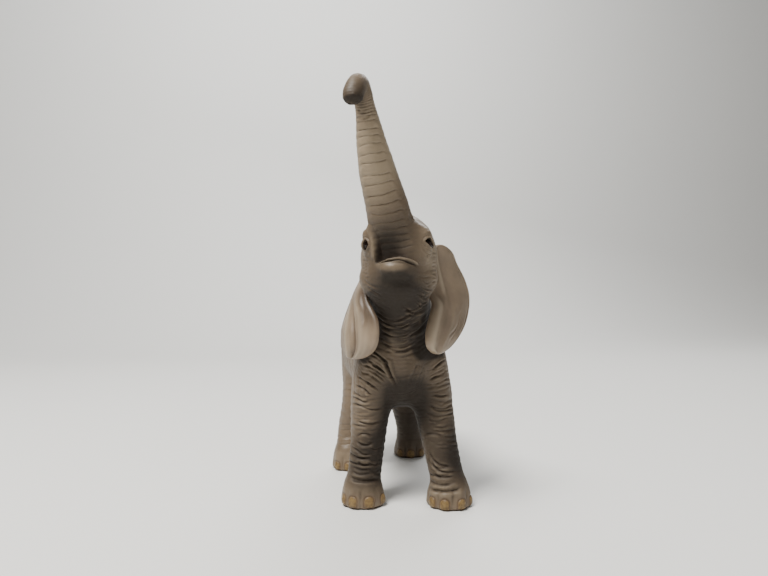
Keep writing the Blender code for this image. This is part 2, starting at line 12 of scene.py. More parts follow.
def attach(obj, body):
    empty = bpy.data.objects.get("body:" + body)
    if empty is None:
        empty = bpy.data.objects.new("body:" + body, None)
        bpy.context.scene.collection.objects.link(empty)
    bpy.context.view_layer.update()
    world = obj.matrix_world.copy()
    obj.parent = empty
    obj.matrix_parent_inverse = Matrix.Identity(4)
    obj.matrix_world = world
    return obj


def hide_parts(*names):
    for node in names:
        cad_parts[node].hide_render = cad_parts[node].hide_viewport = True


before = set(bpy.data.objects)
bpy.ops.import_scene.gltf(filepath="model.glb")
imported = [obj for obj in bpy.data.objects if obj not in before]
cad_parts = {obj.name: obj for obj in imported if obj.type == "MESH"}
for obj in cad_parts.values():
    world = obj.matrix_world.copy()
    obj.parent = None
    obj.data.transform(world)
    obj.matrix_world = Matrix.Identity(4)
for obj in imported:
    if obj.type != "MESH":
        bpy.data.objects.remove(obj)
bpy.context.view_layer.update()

# Camera. It stands level before the calf and a little to the calf's right, at the height of its
# mouth, as the photographer's did. Drawn folds and marks below are placed through it.
MM = 0.001
PHOTO_CENTRE = np.array((384.0, 288.0))
PHOTO_FOCUS = 600.0
PHOTO_WIDTH = 768
SENSOR_WIDTH = 36.0
CAMERA_PLACE = np.array((-40.09, -212.57, 71.1))
CAMERA_TURN = math.radians(-9.9)
CAMERA_RIGHT = np.array((math.cos(CAMERA_TURN), math.sin(CAMERA_TURN), 0))
CAMERA_AHEAD = np.array((-math.sin(CAMERA_TURN), math.cos(CAMERA_TURN), 0))
scene = bpy.context.scene


def link(name, data):
    """Puts data in the scene as an object of that name."""
    made = bpy.data.objects.new(name, data)
    scene.collection.objects.link(made)
    return made


def in_photo(points):
    """Where points fall in the photograph, in pixels: the pinhole rule, offset over depth."""
    away = points - CAMERA_PLACE
    depth = away @ CAMERA_AHEAD
    across = PHOTO_CENTRE[0] + PHOTO_FOCUS * (away @ CAMERA_RIGHT) / depth
    down = PHOTO_CENTRE[1] - PHOTO_FOCUS * away[:, 2] / depth
    return np.stack((across, down), 1)


lens = bpy.data.cameras.new("photo_camera")
lens.sensor_width = SENSOR_WIDTH
lens.lens = PHOTO_FOCUS * SENSOR_WIDTH / PHOTO_WIDTH
lens.clip_start = 0.01
camera = link("photo_camera", lens)
camera.location = CAMERA_PLACE * MM
camera.rotation_euler = (math.pi / 2, 0, CAMERA_TURN)
scene.camera = camera

# Skin form. The body, head, trunk and legs are castings of one sculpted animal, parted afterwards. So
# their visible skin is first one smooth form, grown from the castings, and is parted again below.
BODY_NODES = (
    "torso", "head", "trunk",
    "leg_front_left", "leg_front_right", "leg_hind_left", "leg_hind_right",
)
MERGED_WITHIN = 0.001
SEAM_FILL = 0.5
SKIN_GRAIN = 0.45
SKIN_EASING = 28
HEAD_MIDDLE = np.array((-3.29, -28.27, 82.0))
HEAD_TURN = math.radians(-15)
HEAD_RIGHTWARD = np.array((math.cos(HEAD_TURN), math.sin(HEAD_TURN), 0))
HEAD_BACKWARD = np.array((-math.sin(HEAD_TURN), math.cos(HEAD_TURN), 0))
HEAD_SIZE = np.array((24.6, 27.0, 24.0))
# middles and radii of the skull, the cheeks and the two brows, as shares of the head's size
SKULL_SHARES = (
    ((0, 0.10, 0.03), (0.49, 0.49, 0.49)),
    ((0, -0.06, -0.34), (0.45, 0.39, 0.35)),
    ((0.31, -0.25, 0.19), (0.10, 0.09, 0.10)),
    ((-0.31, -0.25, 0.19), (0.10, 0.09, 0.10)),
)


def corners_of(mesh):
    """A mesh's points in millimetres."""
    flat = np.empty(len(mesh.vertices) * 3)
    mesh.vertices.foreach_get("co", flat)
    return flat.reshape(-1, 3) / MM


def normals_of(mesh):
    """The outward direction at each point."""
    flat = np.empty(len(mesh.vertices) * 3)
    mesh.vertex_normals.foreach_get("vector", flat)
    return flat.reshape(-1, 3)


def ends_of(mesh):
    """The two points of each edge."""
    links = np.empty(len(mesh.edges) * 2, np.int32)
    mesh.edges.foreach_get("vertices", links)
    return links.reshape(-1, 2)


def set_points(mesh, points):
    """Moves a mesh's points to places in millimetres."""
    mesh.vertices.foreach_set("co", points.ravel() * MM)
    mesh.update()


def casting(node):
    """A CAD node's mesh as points in millimetres and triangles, its doubles merged."""
    form = bmesh.new()
    form.from_mesh(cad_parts[node].data)
    bmesh.ops.remove_doubles(form, verts=form.verts, dist=MERGED_WITHIN * MM)
    mesh = bpy.data.meshes.new(node)
    form.to_mesh(mesh)
    form.free()
    return mesh


def grow(mesh, amount):
    """Moves each point out along its normal."""
    set_points(mesh, corners_of(mesh) + normals_of(mesh) * amount)
    return mesh


def head_point(shares):
    """The point of the figure at shares of the head's size from the head's middle."""
    side, back, up = np.array(shares) * HEAD_SIZE
    return HEAD_MIDDLE + side * HEAD_RIGHTWARD + back * HEAD_BACKWARD + np.array((0, 0, up))


def grown_form():
    """The castings and the skull's lumps, grown until their seams close, as one voxel mesh."""
    form = bmesh.new()
    for node in (*BODY_NODES, "eye_left", "eye_right"):
        form.from_mesh(grow(casting(node), SEAM_FILL))
    for middle, radii in SKULL_SHARES:
        place = Matrix.Translation(head_point(middle) * MM) @ Matrix.Rotation(HEAD_TURN, 4, "Z")
        size = (np.array(radii) * HEAD_SIZE + SEAM_FILL) * MM
        place = place @ Matrix.Diagonal((*size, 1))
        bmesh.ops.create_uvsphere(form, u_segments=32, v_segments=24, radius=1, matrix=place)
    mesh = bpy.data.meshes.new("grown")
    form.to_mesh(mesh)
    form.free()
    whole = link("grown", mesh)
    voxels = whole.modifiers.new("voxels", "REMESH")
    voxels.mode = "VOXEL"
    voxels.voxel_size = SKIN_GRAIN * MM
    made = bpy.data.meshes.new_from_object(whole.evaluated_get(bpy.context.evaluated_depsgraph_get()))
    bpy.data.objects.remove(whole)
    return made


def neighbour_mean(values, links, count):
    """The mean of each point's neighbours, from sums over the links between them."""
    one, other = links.T
    shares = 1 / np.bincount(links.ravel(), minlength=count)
    sums = [
        np.bincount(one, column[other], count) + np.bincount(other, column[one], count)
        for column in values.T
    ]
    return np.stack(sums, 1) * shares[:, None]


def eased(values, links, rounds):
    """Each value goes half way to its neighbours' mean, as many times as there are rounds."""
    for _ in range(rounds):
        values = (values + neighbour_mean(values, links, len(values))) / 2
    return values


def smooth_form(mesh):
    """Eases the grown form and gives back what that takes off, twice, so that only ripples go."""
    links = ends_of(mesh)
    left = corners_of(mesh)
    made = 0
    for _ in range(3):
        kept = eased(left, links, SKIN_EASING)
        made = made + kept
        left = left - kept
    set_points(mesh, made)
    return grow(mesh, -SEAM_FILL)


skin_mesh = smooth_form(grown_form())

# Skin detail. Finer faces on the legs, on the trunk, and where the camera sees the sculptor's closest
# work on the face, throat and chest. New edges run along the seams where the castings are parted.
FINE_TOP_OF_LEGS = 27.5
FINE_FRONT = -18.0
FINE_TRUNK = 92.0
FINE_FACING = 0.0
EYE_ROUNDS = 2
EYE_PLACE = np.array((9.225, -7.07, 2.16))
EYE_REGION = 3.6
# how often the skin over the beads is drawn tight before the lids are shaped
DRAWING_ROUNDS = 150
SEAM_SNAP = 0.0001
LEG_SEAM_SLOPE = math.tan(math.radians(25))
# middle and outward direction of each seam, and how far it reaches
SEAMS = {
    "head": ((-1.40, -21.23, 70.0), (-0.10, -0.80, 0.58), 26),
    "trunk": ((-7.7, -36.2, 92.5), (-0.28, -0.33, 0.90), 11),
    "leg_front_left": ((13.0, -19.0, 31.54), (LEG_SEAM_SLOPE, 0, -1), 17),
    "leg_front_right": ((-11.0, -15.0, 31.65), (-LEG_SEAM_SLOPE, 0, -1), 17),
    "leg_hind_left": ((13.0, 34.0, 31.54), (LEG_SEAM_SLOPE, 0, -1), 17),
    "leg_hind_right": ((-11.0, 27.0, 31.65), (-LEG_SEAM_SLOPE, 0, -1), 17),
}


def refine(mesh, wanted):
    """Halves every edge whose two ends are wanted, and leaves only triangles."""
    mesh.edges.foreach_set("select", wanted[ends_of(mesh)].all(1))
    form = bmesh.new()
    form.from_mesh(mesh)
    chosen = [edge for edge in form.edges if edge.select]
    bmesh.ops.subdivide_edges(form, edges=chosen, cuts=1, use_grid_fill=True)
    bmesh.ops.triangulate(form, faces=form.faces)
    form.to_mesh(mesh)
    form.free()


def in_head(points):
    """Places in the head's own frame: side, back and up."""
    away = points - HEAD_MIDDLE
    return np.stack((away @ HEAD_RIGHTWARD, away @ HEAD_BACKWARD, away[:, 2]), 1)


def cut_seams(mesh):
    """Cuts new edges where each seam's plane crosses the skin near the seam's middle."""
    form = bmesh.new()
    form.from_mesh(mesh)
    for middle, direction, reach in SEAMS.values():
        middle = Vector(middle)
        near = [face for face in form.faces if (face.calc_center_median() / MM - middle).length < reach]
        parts = {part for face in near for part in (*face.verts, *face.edges)}
        bmesh.ops.bisect_plane(
            form, geom=near + list(parts), dist=SEAM_SNAP * MM, plane_co=middle * MM, plane_no=direction
        )
    bmesh.ops.triangulate(form, faces=form.faces)
    form.to_mesh(mesh)
    form.free()


def unit(vectors):
    """Vectors scaled to a length of 1."""
    return vectors / np.linalg.norm(vectors, axis=-1, keepdims=True)


def eye_distance(points):
    """How far points are from the nearer eye's middle."""
    side, back, up = in_head(points).T
    return np.linalg.norm(np.stack((np.abs(side), back, up), 1) - EYE_PLACE, axis=1)


start = corners_of(skin_mesh)
over_eye = eye_distance(start) < EYE_REGION
for _ in range(DRAWING_ROUNDS):
    start[over_eye] = neighbour_mean(start, ends_of(skin_mesh), len(start))[over_eye]
set_points(skin_mesh, start)
cut_seams(skin_mesh)
for _ in range(EYE_ROUNDS):
    refine(skin_mesh, eye_distance(corners_of(skin_mesh)) < EYE_REGION)
start = corners_of(skin_mesh)
seen = (normals_of(skin_mesh) * unit(CAMERA_PLACE - start)).sum(1) > FINE_FACING
seen |= start[:, 2] > FINE_TRUNK
refine(skin_mesh, (start[:, 2] < FINE_TOP_OF_LEGS) | ((start[:, 1] < FINE_FRONT) & seen))
skin = corners_of(skin_mesh)
outward = normals_of(skin_mesh)
links = ends_of(skin_mesh)
uncut = skin.copy()
flat_faces = np.empty(len(skin_mesh.polygons) * 3, np.int32)
skin_mesh.polygons.foreach_get("vertices", flat_faces)
faces = flat_faces.reshape(-1, 3)

# Trunk line. The trunk is a casting of its own, plugged into the face under the brow. Its middle runs
# from there up over the crest to the curled tip, and skin near it gets a place along and round it.
TRUNK_ABOVE = 77
TRUNK_BEFORE = -22
CURVE_STEPS = 16
NEAREST_BLOCKS = 40
TRUNK_LINE = (
    (-4.4, -32.1, 79.5),
    (-5.9, -34.0, 86.0),
    (-7.7, -36.2, 92.5),
    (-9.3, -38.1, 97.5),
    (-11.2, -39.5, 102.5),
    (-12.4, -40.6, 107.0),
    (-13.8, -41.7, 112.0),
    (-14.8, -42.7, 117.0),
    (-15.9, -44.1, 121.2),
    (-16.9, -46.0, 124.5),
    (-17.9, -48.5, 126.4),
    (-19.1, -51.5, 126.4),
    (-20.4, -54.1, 124.0),
    (-21.2, -55.6, 120.8),
)


def curve_through(points, steps):
    """A Catmull-Rom curve: between each two points, a cubic that leaves each of them along the line
    between its neighbours."""
    points = np.array(points, float)
    ends = np.concatenate((2 * points[:1] - points[1:2], points, 2 * points[-1:] - points[-2:-1]))
    before, here, there, after = ends[:-3], ends[1:-2], ends[2:-1], ends[3:]
    t = np.linspace(0, 1, steps, endpoint=False)[None, :, None]
    bend = (2 * before - 5 * here + 4 * there - after)[:, None]
    twist = (3 * here - before - 3 * there + after)[:, None]
    run = here[:, None] + ((there - before)[:, None] * t + bend * t**2 + twist * t**3) / 2
    return np.concatenate((run.reshape(-1, points.shape[1]), points[-1:]))


def run_along(line):
    """How far along a line each of its points lies: the sum of the steps before it."""
    return np.concatenate(([0], np.cumsum(np.linalg.norm(np.diff(line, axis=0), axis=1))))


trunk_line = curve_through(TRUNK_LINE, CURVE_STEPS)
trunk_run = run_along(trunk_line)
trunk_ahead = unit(np.gradient(trunk_line, axis=0))
trunk_side = np.linalg.svd(trunk_line - trunk_line.mean(0))[2][2]
trunk_side = trunk_side * np.sign(trunk_side[0])
trunk_under = unit(np.cross(trunk_side, trunk_ahead))

near_trunk = np.flatnonzero((skin[:, 2] > TRUNK_ABOVE) & (skin[:, 1] < TRUNK_BEFORE))
nearest = np.concatenate([
    ((block[:, None] - trunk_line[None]) ** 2).sum(2).argmin(1)
    for block in np.array_split(skin[near_trunk], NEAREST_BLOCKS)
])
offset = skin[near_trunk] - trunk_line[nearest]
trunk_place = trunk_run[nearest] + (offset * trunk_ahead[nearest]).sum(1)
trunk_turn = np.arctan2(offset @ trunk_side, (offset * trunk_under[nearest]).sum(1))
trunk_radius = np.linalg.norm(offset, axis=1)

# Sculpted forms. Muscle and bone that the sculptor built up under the skin, as soft lumps and hollows.
# The skin also closes in round the tail's root, and the band just over the ground is made flat.
MIDDLE_X = 1.11
SOLE_BAND = 0.25
TAIL_ROOT = np.array((1.11, 49.46, 65.3))
# how far the skin closes in round the tail's root, about which radius and how widely
TAIL_PULL = 0.75
TAIL_HOLE = (2.3, 1.3)
# how far before the root that closing starts and is full
TAIL_SKIN = (-5.0, -3.0)
LEAST_REACH = 0.1
# middle, radii and height, all in millimetres, in the head's own frame: side, back and up
HEAD_FORMS = (
    ((10.4, -7.0, 5.6), (5.0, 5.0, 3.5), 0.34),
    ((9.2, -7.1, 2.2), (4.5, 4.5, 4.8), 1.10),
    ((10.2, -5.5, -2.6), (4.0, 5.0, 3.4), 0.55),
    ((11.5, 1.5, 4.5), (4.0, 5.5, 4.5), -0.45),
    ((11.0, -0.5, -7.0), (6.0, 7.5, 9.0), 1.30),
    ((8.5, -4.0, -14.5), (6.0, 7.0, 6.0), 0.55),
    ((4.6, -2.0, 12.0), (5.0, 7.0, 4.0), 0.45),
)
# the same in the figure's frame, for the two sides of the body
BODY_FORMS = (
    ((17.5, 24.0, 68.0), (10.0, 26.0, 15.0), -1.35),
    ((14.5, -15.0, 58.0), (9.0, 11.0, 17.0), 0.40),
    ((16.0, -2.0, 60.0), (8.0, 6.0, 20.0), -0.70),
    ((15.0, 31.0, 57.0), (9.0, 13.0, 17.0), 0.20),
    ((17.0, 16.0, 46.0), (8.0, 6.0, 14.0), -0.60),
    ((15.0, 8.0, 47.0), (9.0, 16.0, 11.0), 0.30),
    ((4.0, 20.0, 81.0), (3.0, 30.0, 6.0), -0.40),
    ((10.5, -12.0, 79.0), (6.0, 7.0, 6.0), 0.50),
    ((9.5, 29.0, 77.0), (6.0, 7.0, 6.0), 0.45),
)
SPINE_FORMS = (
    ((1.0, 12.0, 82.5), (2.4, 40.0, 6.0), 0.60),
    ((-0.6, -24.0, 45.0), (3.6, 9.0, 11.0), 0.70),
)


def ramp(values, low, high):
    """An eased step: 0 below low, 1 above high. Low may be the larger one."""
    share = np.clip((values - low) / (high - low), 0, 1)
    return share * share * (3 - 2 * share)


def bell(distance, half_width):
    """1 at no distance, falling as the exponential of its square."""
    return np.exp(-((distance / half_width) ** 2))


def lump(points, middle, radii, power=2):
    """A rounded lump's share at each point: what the square of the distance in radii leaves of 1, to a
    power."""
    away = ((points - np.array(middle)) / np.array(radii)) ** 2
    return np.clip(1 - away.sum(1), 0, 1) ** power


skin[:, 2] = np.where(skin[:, 2] < SOLE_BAND, 0, skin[:, 2])
from_tail = skin - TAIL_ROOT
tail_reach = np.hypot(from_tail[:, 0], from_tail[:, 2])
closing = TAIL_PULL * bell(tail_reach - TAIL_HOLE[0], TAIL_HOLE[1]) * ramp(from_tail[:, 1], *TAIL_SKIN)
skin -= from_tail * (1, 0, 1) * (closing / np.maximum(tail_reach, LEAST_REACH))[:, None]
head_places = in_head(skin)
rise = np.zeros(len(skin))
for side in (1, -1):
    mirror = np.array((side, 1, 1))
    for middle, radii, height in HEAD_FORMS:
        rise += height * lump(head_places * mirror, middle, radii)
    for middle, radii, height in BODY_FORMS:
        rise += height * lump((skin - (MIDDLE_X, 0, 0)) * mirror, middle, radii)
for middle, radii, height in SPINE_FORMS:
    rise += height * lump(skin, middle, radii)
skin += outward * rise[:, None]
set_points(skin_mesh, skin)
outward = normals_of(skin_mesh)

# Drawn folds. The creases that the sculptor cut in the face, throat, chest and forelegs, as lines across
# the photograph, pressed into the skin that lies behind them. A family runs from its first line to its last.
MOUTH_LINE = (
    (375.5, 264.6), (380, 263.2), (386, 262.2), (392, 261.4),
    (398, 260.6), (405, 261.8), (412, 264.2), (418, 266.8),
)
# each line's points, then depth and half width in millimetres
CREASES = (
    (MOUTH_LINE, 0.55, 0.22),
    (((356, 437), (361, 434), (367, 434), (372, 437)), 0.36, 0.36),
    (((355, 440), (361, 444.4), (368, 445), (374, 441)), 0.50, 0.42),
    (((347, 474), (354, 479), (363, 481), (372, 480.5), (382, 478)), 0.62, 0.60),
    (((423, 435.5), (429, 433.6), (437, 434), (444, 437)), 0.38, 0.40),
    (((427.6, 449), (431, 457), (436.5, 463), (444, 466), (454, 465.6)), 0.55, 0.45),
    (((428.5, 487), (435, 490), (445, 491.4), (456, 490), (463, 487)), 0.70, 0.60),
    (((351, 107), (356, 109.5), (361, 112), (366, 111)), 0.16, 0.40),
    (((351, 116), (358, 118.5), (365, 118), (371, 114)), 0.16, 0.36),
    (((384, 358), (389, 371), (398.5, 391)), 0.36, 0.42),
    (((419, 362), (413, 375), (407, 391)), 0.20, 0.42),
)
# first line, last line, how many, depth, half width and the shortest one's share of the length
FAMILIES = (
    # jaw, right and left
    (((419, 286), (428, 291.5), (437, 286)), ((402, 311), (413, 319), (429, 311)), 9, 0.32, 0.28, 0.50),
    (((414, 276), (422, 279), (430, 276)), ((418, 284), (426, 287), (434, 283)), 3, 0.12, 0.26, 0.50),
    (((365, 279), (371, 285), (380, 289)), ((375, 303), (383, 309), (393, 312)), 6, 0.18, 0.28, 0.50),
    # throat
    (((374, 308), (386, 317), (402, 318), (420, 308)),
     ((380, 343), (392, 350), (406, 350), (420, 341)), 14, 0.30, 0.28, 0.85),
    (((404, 313), (415, 310), (428, 301)), ((408, 338), (418, 332), (427, 322)), 8, 0.28, 0.28, 0.80),
    # breastbone, right and left
    (((381, 353), (386, 368), (394, 386)), ((389, 355), (394, 371), (401, 389)), 4, 0.20, 0.34, 0.80),
    (((427, 356), (421, 371), (414, 388)), ((418, 358), (414, 373), (409, 390)), 4, 0.15, 0.34, 0.80),
    (((383, 349), (400, 352), (419, 348)), ((389, 370), (401, 373), (414, 369)), 6, 0.11, 0.30, 0.60),
    # right shoulder and left shoulder
    (((370, 347), (380, 353), (391, 363)), ((354, 380), (366, 387), (385, 400)), 11, 0.34, 0.32, 0.50),
    (((449, 358), (438, 363), (427, 373)), ((456, 385), (443, 390), (427, 394)), 9, 0.30, 0.32, 0.50),
    # right foreleg
    (((349, 388), (358, 393), (369, 397), (384, 396)),
     ((349, 428), (360, 430.5), (371, 430.5), (384, 427)), 11, 0.32, 0.32, 0.50),
    (((348, 443), (356, 451), (366, 455), (376, 454)),
     ((346, 468), (356, 473.5), (367, 474), (378, 471)), 7, 0.36, 0.36, 0.50),
    (((366, 446), (375, 450), (384, 447)), ((368, 472), (376, 475), (385, 471)), 6, 0.22, 0.32, 0.50),
    # left foreleg
    (((426, 393), (438, 398), (448, 397), (457, 392)),
     ((422, 429), (434, 431.5), (446, 431), (459, 426)), 10, 0.32, 0.32, 0.50),
    (((428, 440), (436, 442), (446, 441)), ((434, 449), (441, 450), (450, 448)), 3, 0.26, 0.32, 0.50),
    (((444, 436), (452, 438), (460, 435)), ((450, 456), (458, 457), (464, 454)), 5, 0.20, 0.32, 0.50),
    (((427.6, 455), (431, 464), (440, 469), (458, 468)),
     ((428, 475), (434, 482), (446, 485), (464, 480)), 5, 0.36, 0.38, 0.50),
)
# lines that stand proud: the rim of the upper lip, and the trunk's right edge down to the mouth's corner
LIP_LINE = ((384, 261.2), (391, 259.0), (400, 257.9), (407.5, 259.6), (413, 261.8), (418.5, 265.0))
TRUNK_EDGE = ((365, 214), (368.8, 228), (371.6, 240), (372.8, 250), (373.4, 262))
MOUTH_CORNER = (375, 265)
RIDGES = ((LIP_LINE, 0.55, 0.30), (TRUNK_EDGE, 0.45, 0.55))
# soft pads and hollows on the face: middle, radii and height
PADS = (
    ((393.0, 267.0), (20.0, 9.5), 1.15),
    ((402.0, 261.0), (15.0, 3.2), 0.55),
    ((397.0, 280.0), (21.0, 8.0), -0.40),
    ((399.0, 292.0), (24.0, 9.0), 0.50),
    ((369.5, 270.0), (8.0, 13.0), 0.40),
    ((422.0, 262.0), (14.0, 16.0), 0.45),
    ((364.0, 233.0), (7.0, 9.0), 0.55),
    ((412.5, 216.5), (5.0, 9.0), -0.45),
)
# the hollow under the trunk's root, in pixels: where it starts and is full right of the trunk's edge, from
# the right, from above, and above the lip
HOLLOW_LEFT = (0.8, 4.2)
HOLLOW_RIGHT = (413.0, 383.0)
HOLLOW_TOP = (218.0, 256.0)
HOLLOW_LIP = (0.2, 3.4)
HOLLOW_DEPTH = 2.6
# the columns of pits on the cheeks: top, bottom and how many, then each pit's depth, half width and height
PIT_COLUMNS = (
    ((434.0, 253.0), (434.5, 286.0), 9),
    ((366.3, 254.0), (367.6, 277.0), 8),
    ((363.9, 257.0), (364.6, 273.0), 5),
)
PIT_DEPTH = 0.20
PIT_SIZE = (0.50, 0.22)
PIT_JITTER = 0.5
# how far from the camera the face and the whole front reach, in millimetres
FACE_DEPTH = 190.0
FRONT_DEPTH = 215.0
# how squarely skin faces the camera where lines begin to show on it, and where they show in full
SEEN_FACING = (0.05, 0.30)
SEEN_ROUNDS = 3
# how far round a line and round a pit skin is looked at, in pixels
LINE_STEPS = 5
LINE_MARGIN = 9
PIT_MARGIN = 5
# the swell under a fold and the one over it: height as a share of the fold's depth, then how far off and
# how wide in its half widths
FOLD_LIP = (0.34, 2.0, 1.2)
FOLD_BROW = (0.26, 2.4, 1.6)
# how far from its middle, as a share of its length, a fold and a ridge have ended and begin to end
FOLD_TAPER = (0.5, 0.26)
RIDGE_TAPER = (0.5, 0.36)
# how unlike a family's folds are: their spacing, shift, greatest length, bends, depths and widths
FAMILY_SEED = 7
SPACING_JITTER = 0.35
SHIFT_JITTER = 0.32
LONGEST = 1.05
BEND_JITTER = (1.6, 0.9)
DEPTH_JITTER = (0.5, 1.3)
WIDTH_JITTER = (0.75, 1.2)


def along_line(places, line):
    """Each place's distance from a curve through the line's points, which side of it the place is on
    (above is negative), and how far along it is, from 0 to 1."""
    curve = curve_through(line, LINE_STEPS)
    first, run = curve[:-1], np.diff(curve, axis=0)
    share = ((places[:, None] - first) * run).sum(2) / (run**2).sum(1)
    share = np.clip(share, 0, 1)
    away = places[:, None] - first - share[:, :, None] * run
    best = (away**2).sum(2).argmin(1)
    rows = np.arange(len(places))
    away = away[rows, best]
    step = run[best]
    above = np.sign(step[:, 0] * away[:, 1] - step[:, 1] * away[:, 0])
    return np.linalg.norm(away, axis=1), above, (best + share[rows, best]) / len(run)


def behind_line(line, margin):
    """The points that fall in a box around a drawn line."""
    low, high = np.array(line).min(0) - margin, np.array(line).max(0) + margin
    return np.flatnonzero(((seen_place > low) & (seen_place < high)).all(1) & (seen_share > 0))


def crease(line, depth, half_width):
    """A valley along a drawn line, with a low swell on both sides, that fades at its ends."""
    there = behind_line(line, LINE_MARGIN)
    distance, above, share = along_line(seen_place[there], line)
    distance = distance * pixel_size[there] / half_width
    taper = ramp(np.abs(share - 0.5), *FOLD_TAPER)
    swell, off, width = np.where(above[:, None] > 0, FOLD_LIP, FOLD_BROW).T
    lip = swell * bell(distance - off, width)
    rise[there] += depth * seen_share[there] * taper * (lip - bell(distance, 1))


seen_depth = (skin - CAMERA_PLACE) @ CAMERA_AHEAD
seen_place = in_photo(skin)
seen_share = ramp((outward * unit(CAMERA_PLACE - skin)).sum(1), *SEEN_FACING) * (seen_depth < FRONT_DEPTH)
seen_share = eased(seen_share[:, None], links, SEEN_ROUNDS)[:, 0]
pixel_size = seen_depth / PHOTO_FOCUS
rise = np.zeros(len(skin))

for line, height, half_width in RIDGES:
    there = behind_line(line, LINE_MARGIN)
    distance, _, share = along_line(seen_place[there], line)
    taper = ramp(np.abs(share - 0.5), *RIDGE_TAPER)
    rise[there] += height * seen_share[there] * taper * bell(distance * pixel_size[there], half_width)
for drawn in CREASES:
    crease(*drawn)
chance = np.random.default_rng(FAMILY_SEED)
for first, last, count, depth, half_width, shortest in FAMILIES:
    first, last = np.array(first, float), np.array(last, float)
    for k in range(count):
        share = (k + SPACING_JITTER * chance.uniform(-1, 1)) / (count - 1)
        line = first + (last - first) * share
        shift = SHIFT_JITTER * chance.uniform(-1, 1) * np.ptp(line[:, 0]) * (1 - shortest)
        middle = line.mean(0) + (shift, 0)
        line = middle + (line - line.mean(0)) * chance.uniform(shortest, LONGEST)
        line = line + chance.uniform(-1, 1, line.shape) * BEND_JITTER
        crease(line, depth * chance.uniform(*DEPTH_JITTER), half_width * chance.uniform(*WIDTH_JITTER))
on_face = seen_share * (seen_depth < FACE_DEPTH)
for middle, radii, height in PADS:
    rise += height * lump(seen_place, middle, radii) * on_face
across, down = seen_place.T
edge_x, edge_y = np.array(TRUNK_EDGE).T
lip_x, lip_y = np.array((MOUTH_CORNER, *LIP_LINE)).T
root_hollow = ramp(across - np.interp(down, edge_y, edge_x), *HOLLOW_LEFT) * ramp(across, *HOLLOW_RIGHT)
root_hollow *= ramp(down, *HOLLOW_TOP) * ramp(np.interp(across, lip_x, lip_y) - down, *HOLLOW_LIP) * on_face
rise -= HOLLOW_DEPTH * root_hollow
for top, bottom, count in PIT_COLUMNS:
    for middle in np.linspace(top, bottom, count):
        there = behind_line((middle,), PIT_MARGIN)
        away = seen_place[there] - middle - chance.uniform(-PIT_JITTER, PIT_JITTER, 2)
        away = away * pixel_size[there][:, None] / PIT_SIZE
        rise[there] -= PIT_DEPTH * seen_share[there] * bell(np.linalg.norm(away, axis=1), 1)
skin += outward * rise[:, None]
set_points(skin_mesh, skin)
outward = normals_of(skin_mesh)
drawn_rise = rise

# Eyelids. Part of the head casting: its skin is drawn over each glossy bead but for a narrow opening with
# a thick rim and a crease round it. They are worked out as a height over the bead, along its axis.
EYE_RADIUS = 1.6
EYE_OUTWARD = np.array((0.74, -0.66, 0.10))
LID_GAP = 0.20
LID_FILLET = 1.0
# the rim's height, how far from the opening it is and how wide, and the same of the crease round it
LID_FOLDS = ((0.26, 0.24, 0.28), (-0.10, 0.85, 0.16))
# how far past the eye's region the lids are looked at, and over what width and depths they end
LID_MARGIN = 0.6
LID_FADE = 1.0
LID_DEPTHS = (-2.4, -1.6)
# beyond this distance from the bead's axis the lid's ball falls away, and how steeply
BALL_EDGE = 1.7
BALL_FALL = 3
# how much smaller the skin's hollow is than the bead, and how far it is sunk
HOLLOW_INSET = 0.35
HOLLOW_SINK = 0.3
# how far outside the opening's outline the hollow ends, and how far outside it the painted shade in the
# opening ends
OPENING_EDGE = (0.05, -0.07)
LID_SHADE_EDGE = (0.12, -0.02)
OPENING_STEPS = 8
# the openings' outlines, as the camera sees them
OPENINGS = (
    (1, ((425.0, 241.0), (427.0, 239.0), (429.6, 238.3), (431.8, 241.0),
         (433.4, 248.2), (430.4, 246.4), (427.6, 243.6))),
    (-1, ((365.6, 239.6), (367.6, 241.6), (368.0, 245.6), (365.8, 249.8), (363.8, 248.0), (363.4, 243.2))),
)


def inside_outline(places, outline):
    """Whether each place is inside a closed outline, by how often a level line from it crosses."""
    inside = np.zeros(len(places), bool)
    for (x1, y1), (x2, y2) in zip(outline, np.roll(outline, -1, axis=0)):
        if y1 != y2:
            crosses = (places[:, 1] < y1) != (places[:, 1] < y2)
            inside ^= crosses & (places[:, 0] < x1 + (x2 - x1) * (places[:, 1] - y1) / (y2 - y1))
    return inside


def in_figure(side, spot):
    """A direction of the head's own frame as one of the figure, for the eye on that side."""
    across, back, up = spot
    return side * across * HEAD_RIGHTWARD + back * HEAD_BACKWARD + np.array((0, 0, up))


def eye_middle(side):
    """The middle of the bead on that side."""
    return HEAD_MIDDLE + in_figure(side, EYE_PLACE)


def smooth_max(one, other, width):
    """The larger of two heights, with a fillet where they are within a width of each other."""
    return np.maximum(one, other) + np.maximum(width - np.abs(one - other), 0) ** 2 / (4 * width)


def cap_height(spread, radius):
    """A ball's height at a distance from its axis: the root of what the distance leaves of the radius."""
    return np.sqrt(np.maximum(radius**2 - spread**2, 0))


